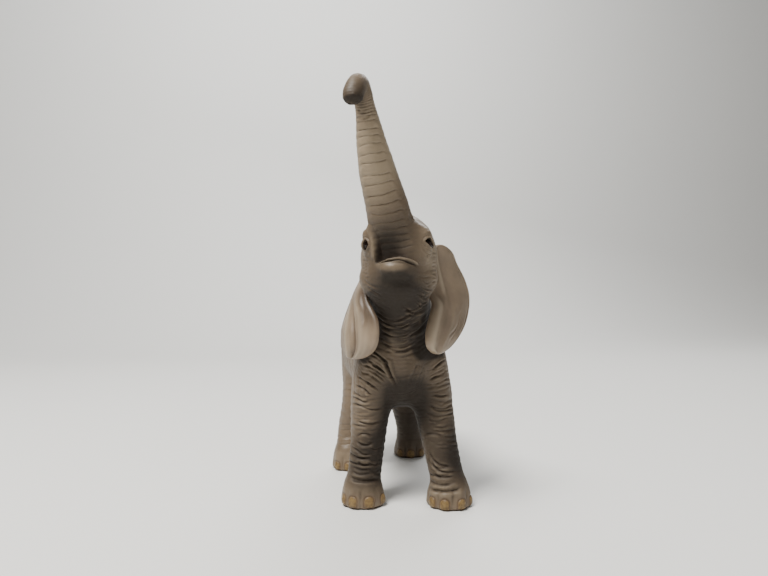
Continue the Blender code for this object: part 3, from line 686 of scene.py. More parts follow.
lid_shade = np.zeros(len(skin))
for side, outline in OPENINGS:
    middle = eye_middle(side)
    ahead = unit(in_figure(side, EYE_OUTWARD))
    there = np.flatnonzero(np.linalg.norm(skin - middle, axis=1) < EYE_REGION + LID_MARGIN)
    away = skin[there] - middle
    height = away @ ahead
    flat = away - height[:, None] * ahead
    spread = np.linalg.norm(flat, axis=1)
    held = ramp(spread, EYE_REGION, EYE_REGION - LID_FADE) * ramp(height, *LID_DEPTHS)
    over_ball = cap_height(spread, EYE_RADIUS + LID_GAP) - BALL_FALL * np.maximum(spread - BALL_EDGE, 0)
    lid = smooth_max(height, over_ball, LID_FILLET)
    lid_place = in_photo(middle + flat + lid[:, None] * ahead)
    closed = curve_through((*outline, outline[0]), OPENING_STEPS)
    distance, _, _ = along_line(lid_place, closed[::2])
    distance = distance * ((middle - CAMERA_PLACE) @ CAMERA_AHEAD) / PHOTO_FOCUS
    distance = np.where(inside_outline(lid_place, closed[:-1]), -distance, distance)
    for fold, off, width in LID_FOLDS:
        lid += fold * bell(distance - off, width)
    inside = cap_height(spread, EYE_RADIUS - HOLLOW_INSET) - HOLLOW_SINK
    lid += (inside - lid) * ramp(distance, *OPENING_EDGE)
    skin[there] += ((lid - height) * held)[:, None] * ahead
    # painted shade in the opening round each bead
    lid_shade[there] = np.maximum(lid_shade[there], held * ramp(distance, *LID_SHADE_EDGE))
set_points(skin_mesh, skin)
outward = normals_of(skin_mesh)

# Wrinkles. Ring folds on the trunk, level ones on the legs and round the neck, and a net of crossing
# ones over the body, all sculpted in the castings as sharp valleys between rounded swells.
TRUNK_RADII = (6.9, 7.3, 6.9, 6.35, 5.93, 5.45, 4.76, 3.93, 3.28, 3.08, 3.06, 3.09, 3.1, 2.98)
# the rows of the photograph that the trunk's rings cross, then the rings' pitch past them at both ends
TRUNK_RINGS = (243, 237, 231, 224, 217, 207, 199, 191, 181, 173, 161, 153, 144, 136, 129, 120, 114)
TIP_RING_PITCH = 0.95
TIP_RING_REACH = 6
ROOT_RING_PITCH = 2.0
ROOT_RINGS = 4
# where along the trunk its rings begin, and how far off its middle, in its own radii, they end
TRUNK_START = (1.0, 7.0)
TRUNK_SKIN = (1.45, 1.2)
EDGE_CALM = 0.85
EDGE_WIDTH = 3.0
# the front panel, where rings are thin cuts, and the ribbed flanks round it
PANEL_TURN = math.radians(6)
PANEL_EDGE = np.radians((50, 38))
PANEL_SWELL = 0.05
PANEL_CUT = (0.22, 0.24)
RIB_SHIFT = 0.18
RIB_EDGE = np.radians((40, 56))
RIB_DEPTH = 0.15
BACK_CALM = 0.55
BACK_EDGE = np.radians((60, 105))
BUMP_TURN = math.radians(45)
BUMP_HEIGHT = 0.10
FINE_RING_DEPTH = 0.045
# how strong the rings are at places along the trunk
RING_FADE = ((0, 20, 45, 52, 63), (0.9, 1.0, 0.85, 0.8, 1.1))
# a nostril's distance from the tip's middle to the side and below, and its half width and height
NOSTRIL_PLACE = (1.0, 0.75)
NOSTRIL_SIZE = (0.55, 0.75)
NOSTRIL_DEPTH = 1.3
NOSTRIL_RIM = 0.30
TIP_END = (0.6, 1.6)
# the middle and radii of the head's own wrinkles in its frame, and where the legs' and neck's ones end
HEAD_WRINKLES = ((0, 0, -3), (14.5, 15.5, 18.0))
LEG_TOP = (40, 31)
NECK_BACK = (-10, -20)
NECK_BOTTOM = (44, 52)
# how far apart the folds are in millimetres, then how deep
LEG_PITCH = 2.5
LEG_FINE_PITCH = 1.25
BODY_PITCH = 3.3
CROSS_PITCH = 3.0
CROSS_FINE_PITCH = 1.25
NECK_PITCH = 1.7
EYE_PITCH = 1.05
HEAD_PITCHES = (1.9, 2.4)
LEG_DEPTH = 0.20
LEG_FINE_DEPTH = 0.09
BODY_DEPTH = 0.26
BODY_FINE_DEPTH = 0.05
NECK_DEPTH = 0.14
EYE_FOLD_DEPTH = 0.11
HEAD_DEPTH = 0.06
GRAIN = (0.035, 1.1, 17)
HASH_STEPS = np.array((374761393, 668265263, 2147483647))
HASH_SEED_STEP = 1442695041
HASH_MIX = 1274126177
HASH_MASK = 0xFFFFFFFF
NOISE_SHIFT = 0.37


def hash_values(cells, seed):
    """A fixed pseudo-random value from -1 to 1 for each whole-numbered cell."""
    mixed = (cells @ HASH_STEPS + seed * HASH_SEED_STEP) & HASH_MASK
    mixed = ((mixed ^ (mixed >> 13)) * HASH_MIX) & HASH_MASK
    mixed = mixed ^ (mixed >> 16)
    return (mixed & 0xFFFF) / 32767.5 - 1


def noise(points, size, seed):
    """Smooth noise from -1 to 1: the values at the corners of cells of that size, blended by an eased
    ramp along each axis."""
    places = points / size + NOISE_SHIFT * seed
    cells = np.floor(places).astype(np.int64)
    share = ramp(places - cells, 0, 1)
    total = 0
    for corner in np.ndindex(2, 2, 2):
        weight = np.where(np.array(corner, bool), share, 1 - share).prod(1)
        total = total + weight * hash_values(cells + np.array(corner), seed)
    return total


def waver(points, *parts):
    """A sum of smooth noises. Each part is its strength, the size of its cells and its seed."""
    return sum(strength * noise(points, size, seed) for strength, size, seed in parts)


def swells(flow, sharpness=0.6):
    """Rounded swells with a sharp valley at each whole number: a power of the size of a sine."""
    return np.abs(np.sin(math.pi * flow)) ** sharpness


rise = np.zeros(len(skin))
crest = trunk_line[:, 2].argmax()
line_rows = in_photo(trunk_line)[:crest, 1]
rings = np.interp(-np.array(TRUNK_RINGS), -line_rows, trunk_run[:crest])
tip_rings = np.arange(rings[-1] + TIP_RING_PITCH, trunk_run[-1] + TIP_RING_REACH, TIP_RING_PITCH)
rings = np.concatenate((rings[:1] - ROOT_RING_PITCH * np.arange(ROOT_RINGS, 0, -1), rings, tip_rings))
near = skin[near_trunk]
ring_flow = np.interp(trunk_place, rings, np.arange(len(rings)))
ring_pitch = np.interp(trunk_place, (rings[1:] + rings[:-1]) / 2, np.diff(rings))
ring_flow += waver(near, (0.12, 4.0, 21), (0.06, 1.6, 22))
own_radius = np.interp(trunk_place, np.linspace(0, trunk_run[-1], len(TRUNK_RADII)), TRUNK_RADII)
on_trunk = ramp(trunk_place, *TRUNK_START) * ramp(trunk_radius / own_radius, *TRUNK_SKIN)
edge_distance, _, _ = along_line(seen_place[near_trunk], TRUNK_EDGE)
on_trunk *= 1 - EDGE_CALM * bell(edge_distance, EDGE_WIDTH) * seen_share[near_trunk]
turn = np.abs(trunk_turn - PANEL_TURN)
on_panel = ramp(turn, *PANEL_EDGE)
to_ring = np.abs(ring_flow - np.round(ring_flow)) * ring_pitch
ring_strength = 1 + waver(near, (0.35, 3.0, 23))
panel_relief = (PANEL_SWELL - PANEL_CUT[0] * bell(to_ring, PANEL_CUT[1])) * ring_strength
rib_flow = ring_flow + RIB_SHIFT * ramp(turn, *RIB_EDGE)
flank_relief = RIB_DEPTH * ring_strength * (swells(rib_flow, 0.5) - 0.8)
flank_relief *= 1 - BACK_CALM * ramp(turn, *BACK_EDGE)
fine_relief = FINE_RING_DEPTH * (swells(3 * ring_flow + waver(near, (0.5, 2.2, 24))) - 0.7)
edge_bumps = BUMP_HEIGHT * bell((turn - BUMP_TURN) * own_radius, 0.8) * swells(rib_flow, 0.8)
relief = on_panel * panel_relief + (1 - on_panel) * flank_relief + edge_bumps + fine_relief
rise[near_trunk] += on_trunk * relief * np.interp(trunk_place, *RING_FADE)
trunk_share = np.zeros(len(skin))
trunk_share[near_trunk] = on_trunk

# the tip: two nostrils on its end and a small finger over them
tip_place = trunk_place - trunk_run[-1]
tip_side = np.abs(offset @ trunk_side)
tip_under = (offset * trunk_under[nearest]).sum(1)
nostril = (np.stack((tip_side, tip_under), 1) - NOSTRIL_PLACE) / NOSTRIL_SIZE
nostril = np.linalg.norm(nostril, axis=1)
at_end = ramp(tip_place, *TIP_END)
rise[near_trunk] -= NOSTRIL_DEPTH * at_end * ramp(nostril, 1.25, 0.75)
rise[near_trunk] += NOSTRIL_RIM * at_end * bell(nostril - 1.4, 0.35)

x, y, z = skin.T
head_middle, head_radii = HEAD_WRINKLES
head_share = ramp(np.linalg.norm((in_head(skin) - head_middle) / head_radii, axis=1), 1.12, 0.92)
leg_share = ramp(z, *LEG_TOP) * (1 - head_share)
neck_share = ramp(y, *NECK_BACK) * ramp(z, *NECK_BOTTOM) * (1 - head_share)
body_share = np.clip(1 - head_share - leg_share - neck_share, 0, 1)

leg_flow = z / LEG_PITCH + waver(skin, (0.65, 8.0, 1), (0.25, 3.4, 2))
leg_strength = np.clip(LEG_DEPTH + waver(skin, (0.14, 5.0, 3)), 0.02, 1)
leg_strength = leg_strength * (1 - 0.6 * seen_share) * ramp(z, 5.0, 11.0)
leg_relief = leg_strength * (swells(leg_flow) - 0.75)
fine_flow = z / LEG_FINE_PITCH + waver(skin, (0.6, 2.6, 4))
leg_relief += LEG_FINE_DEPTH * (swells(fine_flow) - 0.7) * ramp(z, 5, 10)

body_flow = (y + 0.30 * (z - 60)) / BODY_PITCH + waver(skin, (0.95, 11.0, 5), (0.42, 4.4, 6))
cross_flow = (z - 0.30 * y) / CROSS_PITCH + waver(skin, (0.85, 9.0, 7), (0.36, 4.0, 8))
body_net = np.minimum(swells(body_flow, 0.5), swells(cross_flow, 0.5) + 0.30)
body_relief = np.clip(BODY_DEPTH + waver(skin, (0.14, 13.0, 9)), 0.05, 1) * (body_net - 0.75)
fine_flow = cross_flow * CROSS_PITCH / CROSS_FINE_PITCH + waver(skin, (0.3, 2.0, 18))
body_relief += BODY_FINE_DEPTH * (swells(fine_flow) - 0.7)

neck_flow = (z - 0.03 * (x + 3.0) ** 2) / NECK_PITCH + waver(skin, (0.5, 7.0, 10), (0.2, 3.0, 11))
neck_relief = np.clip(NECK_DEPTH + waver(skin, (0.08, 5.0, 12)), 0, 1) * (swells(neck_flow) - 0.72)

eye_reach = eye_distance(skin)
eye_flow = eye_reach / EYE_PITCH + waver(skin, (0.35, 3.0, 13))
_, head_back, head_up = in_head(skin).T
head_net = np.minimum(
    swells(head_up / HEAD_PITCHES[0] + waver(skin, (0.8, 5.0, 14))),
    swells(head_back / HEAD_PITCHES[1] + waver(skin, (0.8, 5.0, 15))) + 0.2,
)
head_strength = np.clip(HEAD_DEPTH + waver(skin, (0.06, 6.0, 16)), 0, 1) * ramp(eye_reach, 3.5, 6.0)
head_relief = EYE_FOLD_DEPTH * (swells(eye_flow) - 0.7) * bell(eye_reach - 3.0, 1.6)
head_relief += head_strength * (head_net - 0.75)

wrinkles = leg_share * leg_relief + body_share * body_relief
wrinkles += neck_share * neck_relief + head_share * head_relief
rise += (1 - trunk_share) * wrinkles
rise += waver(skin, GRAIN) * ramp(z, 1.0, 3.0) * ramp(eye_reach, 1.8, 3.0)

# Feet. The lower ends of the leg castings: soft toes over ochre nails that reach the ground, and a flat
# sole with a rounded edge. The nails are moulded with the foot and painted afterwards.
FOOT_TOP = 12
# each foot's middle, width, the nails' middle height, and the way that each nail faces, in degrees
FOOT_PLACES = (
    ("leg_front_right", (-12.69, -15.27), 15.0, 2.45, (-70, -35, 7, 54)),
    ("leg_front_left", (14.91, -21.17), 15.0, 2.05, (-62, -25, 19, 60)),
    ("leg_hind_right", (-12.69, 25.23), 13.8, 1.9, (-50, -8, 34)),
    ("leg_hind_left", (14.91, 38.73), 13.8, 1.9, (-50, -8, 34)),
)
# how far the toes reach from the sole's middle and begin on it, as shares of its width, and to the side
FOOT_REACH_SHARE = 0.75
TOE_START_SHARE = 0.25
TOE_REACH = 4.2
NAIL_HALF = (1.50, 1.60)
NAIL_DOME = 0.34
# a nail is rounded at its top and squarer at its foot: the outline's power, what is added to it at the
# foot, and the heights between which that grows
NAIL_POWER = 2.3
NAIL_SQUARENESS = 1.7
NAIL_SQUARED = (0.3, -0.6)
# the groove round a nail: depth, place and width in the nail's own size
NAIL_GROOVE = (0.16, 1.12, 0.12)
# a toe's height and half width, and the heights over the nail's middle where it rises and ends
TOE_SWELL = (0.34, 1.8)
TOE_RISES = (1.0, 2.6)
TOE_ENDS = (6.5, 3.0)
# depth, place and half width of the furrows beside a toe, and where they end
TOE_FURROW = (0.20, 2.5, 0.5)
FURROW_ENDS = (5.0, 2.0)
# where nail paint ends, and the place and width of the dark line round it, in the nail's own size
NAIL_EDGE = (1.08, 0.92)
CUTICLE = (1.16, 0.22)
# dry brushing and painted highlight on the toes: between what heights, how strong, and its upright streaks
TOE_LIGHT = (8.5, 6.0)
TOE_LIGHT_MEAN = 0.8
STREAKS = (0.5, 1.3, 31)
STREAK_STRETCH = (1, 1, 0.15)
# the rounding of the soles' edges, on skin that faces sideways, and the band that is smoothed over the ground
RELIEF_STARTS = (0.0, 0.35)
SOLE_ROUND = 0.9
SOLE_CURVE = 0.8
SOLE_FACING = 0.9
SOLE_EASING = 25
GROUND_BAND = 0.8
UNFOLDING_ROUNDS = 12
TURNED_SHARE = 0.3


def unfolded(points):
    """Points near a face that is turned against the skin around it go to their neighbours' mean."""
    for _ in range(UNFOLDING_ROUNDS):
        first, second, third = points[faces.T]
        facing = np.cross(second - first, third - first)
        facing /= np.linalg.norm(facing, axis=1, keepdims=True) + 1e-12
        set_points(skin_mesh, points)
        turned = (facing * normals_of(skin_mesh)[faces].mean(1)).sum(1) < TURNED_SHARE
        moved = np.zeros(len(points), bool)
        moved[faces[turned]] = True
        moved[links[moved[links].any(1)]] = True
        points[moved] = neighbour_mean(points, links, len(points))[moved]
    return points


nail_paint = np.zeros(len(skin))
cuticle = np.zeros(len(skin))
toe_light = np.zeros(len(skin))
for leg, middle, width, nail_height, turns in FOOT_PLACES:
    away = skin[:, :2] - np.array(middle)
    on_foot = (np.linalg.norm(away, axis=1) < width * FOOT_REACH_SHARE) & (z < FOOT_TOP)
    streaks = TOE_LIGHT_MEAN + waver(skin[on_foot] * STREAK_STRETCH, STREAKS)
    toe_light[on_foot] = ramp(z[on_foot], *TOE_LIGHT) * streaks
    for degrees in turns:
        turn = math.radians(degrees)
        out = np.array((math.sin(turn), -math.cos(turn)))
        sideways = away @ np.array((-out[1], out[0]))
        before = away @ out > width * TOE_START_SHARE
        there = np.flatnonzero(on_foot & before & (np.abs(sideways) < TOE_REACH))
        sideways, up = sideways[there], z[there] - nail_height
        power = NAIL_POWER + NAIL_SQUARENESS * ramp(up, *NAIL_SQUARED)
        reach = (np.abs(sideways / NAIL_HALF[0]) ** power + np.abs(up / NAIL_HALF[1]) ** power) ** (1 / power)
        dome = NAIL_DOME * np.clip(1 - reach**2, 0, 1) ** 0.5
        depth, place, spread = NAIL_GROOVE
        groove = depth * bell(reach - place, spread)
        height, spread = TOE_SWELL
        toe = height * bell(sideways, spread) * ramp(up, *TOE_RISES) * ramp(up, *TOE_ENDS)
        depth, place, spread = TOE_FURROW
        furrow = depth * bell(np.abs(sideways) - place, spread) * ramp(up, *FURROW_ENDS)
        rise[there] += dome - groove + toe - furrow
        nail_paint[there] = np.maximum(nail_paint[there], ramp(reach, *NAIL_EDGE))
        cuticle[there] = np.maximum(cuticle[there], bell(reach - CUTICLE[0], CUTICLE[1]))
rise *= ramp(z, *RELIEF_STARTS)
at_sole = np.clip(1 - z / SOLE_ROUND, 0, 1) * (np.abs(outward[:, 2]) < SOLE_FACING)
rise -= SOLE_ROUND * (1 - np.sqrt(1 - at_sole**2)) * SOLE_CURVE

skin += outward * rise[:, None]
skin[:, 2] = np.maximum(skin[:, 2], 0)
at_ground = skin[:, 2] < GROUND_BAND
for _ in range(SOLE_EASING):
    skin[at_ground, :2] = neighbour_mean(skin[:, :2], links, len(skin))[at_ground]
skin = unfolded(skin)
set_points(skin_mesh, skin)
outward = normals_of(skin_mesh)
rise = rise + drawn_rise

# Paint. Satin vinyl in a warm grey-brown, a dark wash that stays in the folds, paler rubbed swells, and
# ochre nails with a darker line round each. Painted shade darkens hollows, the underside, throat, chest,
# crotch and shins, the skin by the ears, the eye openings and the soles' edge, and painted highlight
# lightens broad swells, the trunk, the lips, the toes and a few other places. The marks are values at the
# skin's points.
SKIN_TONE = (0.146, 0.106, 0.069, 1)
SKIN_CLOUD = (0.12556, 0.09116, 0.05934, 1)
SKIN_WASH_AND_SHADE = (0.026, 0.017, 0.010, 1)
SKIN_RUB_AND_HIGHLIGHT = (0.37, 0.295, 0.20, 1)
SHADE_TONE = (0.014, 0.0085, 0.0042, 1)
NAIL_TONE = (0.21, 0.138, 0.052, 1)
NAIL_SPECK = (0.12, 0.074, 0.030, 1)
CUTICLE_TONE = (0.10, 0.055, 0.025, 1)
# how many times the skin's relief is eased, so that what is left is fine folds, or broad ones
FINE_ROUNDS = 7
BROAD_ROUNDS = 60
# how deep a fold is where wash begins to stay and where it is full, and how much of it fine and broad hold:
# dark wash in the fine folds, painted shade in the broad hollows
WASH_DEPTHS = ((0.02, 0.22), (0.05, 0.35))
WASH_SHARES = (0.75, 0.45)
# how high a swell is where rubbing begins and is full, and how much fine and broad hold: dry brushing on the
# fine swells, painted highlight on the broad ones
RUB_HEIGHTS = ((0.02, 0.12), (0.04, 0.25))
RUB_SHARES = (0.6, 0.4)
# a painted shadow along the edge of the soles: its height, and how strong it is
SOLE_SHADOW = (0.8, 0.5)
# painted shade where other skin stands close before the skin: the shelter over which it grows, and its
# strength
SHELTER_RANGE = (0.30, 0.75)
SHELTER_SHADE = 0.8
# the shade under the belly: its strength, how far down skin faces, and at what heights
UNDER_SHADE = 0.35
UNDER_FACING = (0.0, 0.75)
UNDER_HEIGHTS = (20, 34)
# soft sprays of painted shade: middle, radii and strength
SHADE_SPRAY = (
    ((-4.0, -37.0, 66.0), (15.0, 16.0, 18.0), 1.25),
    ((-11.0, -30.0, 65.0), (5.0, 6.0, 8.0), 1.60),
    ((9.5, -28.0, 63.0), (6.0, 6.0, 10.0), 1.20),
    ((-13.0, -34.0, 76.0), (8.0, 10.0, 12.0), 0.30),
    ((-20.0, -56.0, 119.5), (9.0, 9.0, 9.5), 0.90),
    ((-6.0, -39.0, 84.0), (11.0, 11.0, 17.0), 0.60),
    ((-1.0, -27.0, 44.0), (12.0, 12.0, 18.0), 0.55),
    ((6.5, -27.0, 54.0), (6.0, 9.0, 11.0), 1.00),
    ((1.5, -14.0, 32.0), (14.0, 33.0, 17.0), 1.25),
    ((-8.0, -22.0, 34.0), (12.0, 16.0, 18.0), 0.30),
    ((12.0, -28.0, 36.0), (13.0, 16.0, 18.0), 0.35),
    ((-2.0, -31.0, 57.0), (9.0, 9.0, 8.0), 0.45),
    ((-12.0, -22.0, 15.0), (17.0, 17.0, 16.0), 1.10),
    ((-6.0, -18.0, 18.0), (9.0, 15.0, 22.0), 0.50),
    ((14.0, -27.0, 17.0), (17.0, 17.0, 18.0), 0.90),
    ((21.0, -24.0, 22.0), (10.0, 17.0, 26.0), 0.50),
    ((14.0, 33.0, 16.0), (18.0, 18.0, 26.0), 0.90),
)
# the same in the photograph's pixels, behind the ears where no light falls
SHADE_PADS = (
    ((427.0, 315.0), (7.5, 20.0), 1.50),
    ((420.0, 341.0), (12.0, 22.0), 1.70),
    ((434.0, 353.0), (19.0, 9.0), 1.30),
    ((371.0, 300.0), (5.0, 11.0), 1.20),
    ((378.0, 314.0), (7.0, 16.0), 1.50),
    ((382.0, 330.0), (6.0, 14.0), 0.70),
    ((363.0, 361.0), (9.0, 4.5), 0.70),
)
PAD_POWER = 1.6
# soft sprays of painted highlight, and how much the toes are lightened
HIGHLIGHT_SPRAY = (
    ((-13.0, -43.0, 110.0), (12.0, 15.0, 21.0), 1.40),
    ((7.0, -35.0, 82.0), (10.0, 12.0, 18.0), 0.50),
    ((-19.0, -5.0, 70.0), (10.0, 36.0, 30.0), 0.25),
)
TOE_SHARE = 0.30
# painted shade in the hollow under the trunk's root
HOLLOW_SHADE = 0.35
# the painted highlight on the lower lip and on the upper lip's rim: middle and radii in pixels, its rim's
# half width and taper, and its strength
LIP_MIDDLE = (393.0, 267.0)
LIP_RADII = (17.0, 5.0)
LIP_RIM = 0.9
LIP_TAPER = (0.5, 0.4)
LIP_HIGHLIGHT = 0.34
RUB_OVER_SHADE = 0.35
RUB_ROUNDS = 2
SHADE_ROUNDS = 3


class Socket:
    """A shader socket that can be used in a sum: each operator adds one math node."""

    def __init__(self, tree, socket):
        self.tree = tree
        self.socket = socket

    def math(self, operation, *others):
        return self.tree.node("ShaderNodeMath", {"operation": operation}, self, *others)

    def __add__(self, other):
        return self.math("ADD", other)

    def __sub__(self, other):
        return self.math("SUBTRACT", other)

    def __rsub__(self, other):
        return self.tree.node("ShaderNodeMath", {"operation": "SUBTRACT"}, other, self)

    def __mul__(self, other):
        return self.math("MULTIPLY", other)

    def __truediv__(self, other):
        return self.math("DIVIDE", other)

    __radd__ = __add__
    __rmul__ = __mul__


class Shader:
    """One material's nodes, with its Principled shader ready to be set."""

    def __init__(self, name):
        self.material = bpy.data.materials.new(name)
        self.material.use_nodes = True
        self.nodes = self.material.node_tree.nodes
        self.links = self.material.node_tree.links
        self.surface = self.nodes["Principled BSDF"]

    def node(self, kind, settings, *values, out=0, **named):
        """Adds a node, sets it, gives its inputs values or links, and returns the output asked for."""
        made = self.nodes.new(kind)
        for name, value in settings.items():
            setattr(made, name, value)
        for key, value in (*enumerate(values), *named.items()):
            self.give(made.inputs[key.replace("_", " ") if isinstance(key, str) else key], value)
        return Socket(self, made.outputs[out])

    def give(self, slot, value):
        """Links a socket to an input, or sets it to a plain value."""
        if isinstance(value, Socket):
            self.links.new(value.socket, slot)
        else:
            slot.default_value = value

    def set(self, **named):
        for name, value in named.items():
            self.give(self.surface.inputs[name.replace("_", " ")], value)
        return self.material

    def place(self):
        """Object coordinates in millimetres."""
        spot = self.node("ShaderNodeTexCoord", {}, out="Object")
        return self.node("ShaderNodeVectorMath", {"operation": "SCALE"}, spot, Scale=1 / MM)

    def mark(self, name):
        """A value stored at the mesh's points."""
        return self.node("ShaderNodeAttribute", {"attribute_name": name}, out="Fac")

    def noise(self, spot, size, detail=3.0, roughness=0.55):
        """Smooth noise about 0.5, whose lumps are about that size in millimetres."""
        return self.node("ShaderNodeTexNoise", {}, spot, Scale=1 / size, Detail=detail, Roughness=roughness)

    def ramp(self, value, low, high):
        """An eased step from 0 at low to 1 at high."""
        return self.node("ShaderNodeMapRange", {"interpolation_type": "SMOOTHSTEP"}, value, low, high)

    def mix(self, share, first, second):
        """One colour over another."""
        mixed = self.nodes.new("ShaderNodeMix")
        mixed.data_type = "RGBA"
        self.give(mixed.inputs[0], share)
        self.give(mixed.inputs[6], first)
        self.give(mixed.inputs[7], second)
        return Socket(self, mixed.outputs[2])

    def bump(self, height, distance, strength=1.0):
        return self.node("ShaderNodeBump", {}, Strength=strength, Distance=distance * MM, Height=height)


def painted_vinyl():
    """Vinyl sprayed in a base colour with painted highlight and painted shade over it, washed dark and wiped,
    then dry-brushed on its high spots.
    """
    shader = Shader("painted_vinyl")
    spot = shader.place()
    cloud = shader.noise(spot, 9.0)
    speck = shader.noise(spot, 0.9, 4.0)
    tone = shader.mix(shader.ramp(cloud, 0.35, 0.65), SKIN_TONE, SKIN_CLOUD)
    rubbed = shader.mark("rub") * (0.6 + shader.ramp(speck, 0.30, 0.70) * 0.4)
    tone = shader.mix(rubbed * 0.50, tone, SKIN_RUB_AND_HIGHLIGHT)
    # painted highlight, then painted shade
    tone = shader.mix(shader.mark("light") * 0.62, tone, SKIN_RUB_AND_HIGHLIGHT)
    tone = shader.mix(shader.mark("shade"), tone, SHADE_TONE)
    washed_and_shaded = shader.mark("wash") * (0.80 + shader.ramp(speck, 0.35, 0.65) * 0.20)
    tone = shader.mix(washed_and_shaded, tone, SKIN_WASH_AND_SHADE)
    # the nails' tone varies in random specks
    nail_tone = shader.mix(shader.ramp(speck, 0.30, 0.70), NAIL_TONE, NAIL_SPECK)
    tone = shader.mix(shader.mark("nail"), tone, nail_tone)
    tone = shader.mix(shader.mark("cuticle") * 0.6, tone, CUTICLE_TONE)
    gloss = 0.46 + washed_and_shaded * 0.20 + shader.mark("shade") * 0.25 + (speck - 0.5) * 0.25
    normal = shader.bump(shader.noise(spot, 0.35, 2.0), 0.03, 0.5)
    return shader.set(Base_Color=tone, Roughness=gloss, Normal=normal, Specular_IOR_Level=0.36)


skin_paint = painted_vinyl()
proud = [rise - eased(rise[:, None], links, rounds)[:, 0] for rounds in (FINE_ROUNDS, BROAD_ROUNDS)]
wash = sum(share * ramp(-over, *depths) for over, depths, share in zip(proud, WASH_DEPTHS, WASH_SHARES))
rub = sum(share * ramp(over, *heights) for over, heights, share in zip(proud, RUB_HEIGHTS, RUB_SHARES))
# painted shade in the eye openings and a painted shadow along the soles' edge are added to the wash
wash = np.maximum(wash, lid_shade)
wash = np.maximum(wash, ramp(z, SOLE_SHADOW[0], 0.0) * SOLE_SHADOW[1])
SHELTER_CELL = 2.0
SHELTER_MARGIN = 24
SHELTER_SPARE = 14
# how far ahead of the skin a spot is, and how many times the cells are blurred for it
SHELTER_REACHES = ((4.0, 2), (9.0, 8), (16.0, 22))


def shelter(points, others):
    """How closely other skin stands before each point. Cells with skin in them are blurred, and each
    point reads the blurred cells ahead of it, for three distances."""
    low = points.min(0) - SHELTER_MARGIN
    everything = ((np.concatenate((points, others)) - low) / SHELTER_CELL).astype(int)
    filled = np.zeros(everything.max(0) + SHELTER_SPARE)
    filled[tuple(everything.T)] = 1
    total = 0
    for reach, rounds in SHELTER_REACHES:
        soft = filled
        for _ in range(rounds):
            for axis in range(3):
                soft = (np.roll(soft, 1, axis) + 2 * soft + np.roll(soft, -1, axis)) / 4
        spots = (points + outward * reach - low) / SHELTER_CELL - 0.5
        cells = np.floor(spots).astype(int)
        share = spots - cells
        for corner in np.ndindex(2, 2, 2):
            weight = np.where(np.array(corner, bool), share, 1 - share).prod(1)
            total = total + weight * soft[tuple((cells + np.array(corner)).T)]
    return total


ear_corners = np.concatenate([corners_of(casting(node)) for node in ("ear_left", "ear_right")])
sheltered = shelter(skin, ear_corners)
# painted shade where other skin stands close, and under the belly
shade = SHELTER_SHADE * ramp(sheltered, *SHELTER_RANGE)
shade = shade + UNDER_SHADE * ramp(-outward[:, 2], *UNDER_FACING) * ramp(z, *UNDER_HEIGHTS)
for middle, radii, strength in SHADE_SPRAY:
    shade = shade + strength * lump(skin, middle, radii)
# painted shade behind the ears
for middle, radii, strength in SHADE_PADS:
    shade = shade + strength * lump(seen_place, middle, radii, PAD_POWER) * seen_share
shade = np.clip(shade + HOLLOW_SHADE * root_hollow, 0, 1)
light = TOE_SHARE * toe_light
for middle, radii, strength in HIGHLIGHT_SPRAY:
    light = light + strength * lump(skin, middle, radii)
rim_away, _, rim_share = along_line(seen_place, LIP_LINE)
rim_light = bell(rim_away, LIP_RIM) * ramp(np.abs(rim_share - 0.5), *LIP_TAPER)
lip_light = np.maximum(lump(seen_place, LIP_MIDDLE, LIP_RADII, 1), rim_light) * on_face
# the lips' painted highlight joins the rubbed swells, and painted shade is lifted there
rub = eased(np.maximum(rub, LIP_HIGHLIGHT * lip_light)[:, None], links, RUB_ROUNDS)[:, 0]
shade = shade * (1 - lip_light) * (1 - RUB_OVER_SHADE * rub)
shade = eased(shade[:, None], links, SHADE_ROUNDS)[:, 0]
marks = {
    "wash": np.clip(wash, 0, 1),
    "rub": np.clip(rub, 0, 1),
    "shade": np.clip(shade, 0, 1),
    "light": np.clip(light, 0, 1),
    "nail": nail_paint,
    "cuticle": cuticle,
}

# Castings: body, head, trunk and four legs. The skin is parted at its seams, where the real castings are
# glued, and each part is closed by a flat cap inside the seam. Skin under the trunk's floor is never the
# trunk's, and the middle of the legs parts the fore legs from the hind ones.
TRUNK_FLOOR = 85
LEGS_MIDDLE_Y = 7


def beyond(seam, points):
    """How far points lie beyond a seam's plane."""
    middle, direction, _ = SEAMS[seam]
    return (points - np.array(middle)) @ unit(np.array(direction, float))


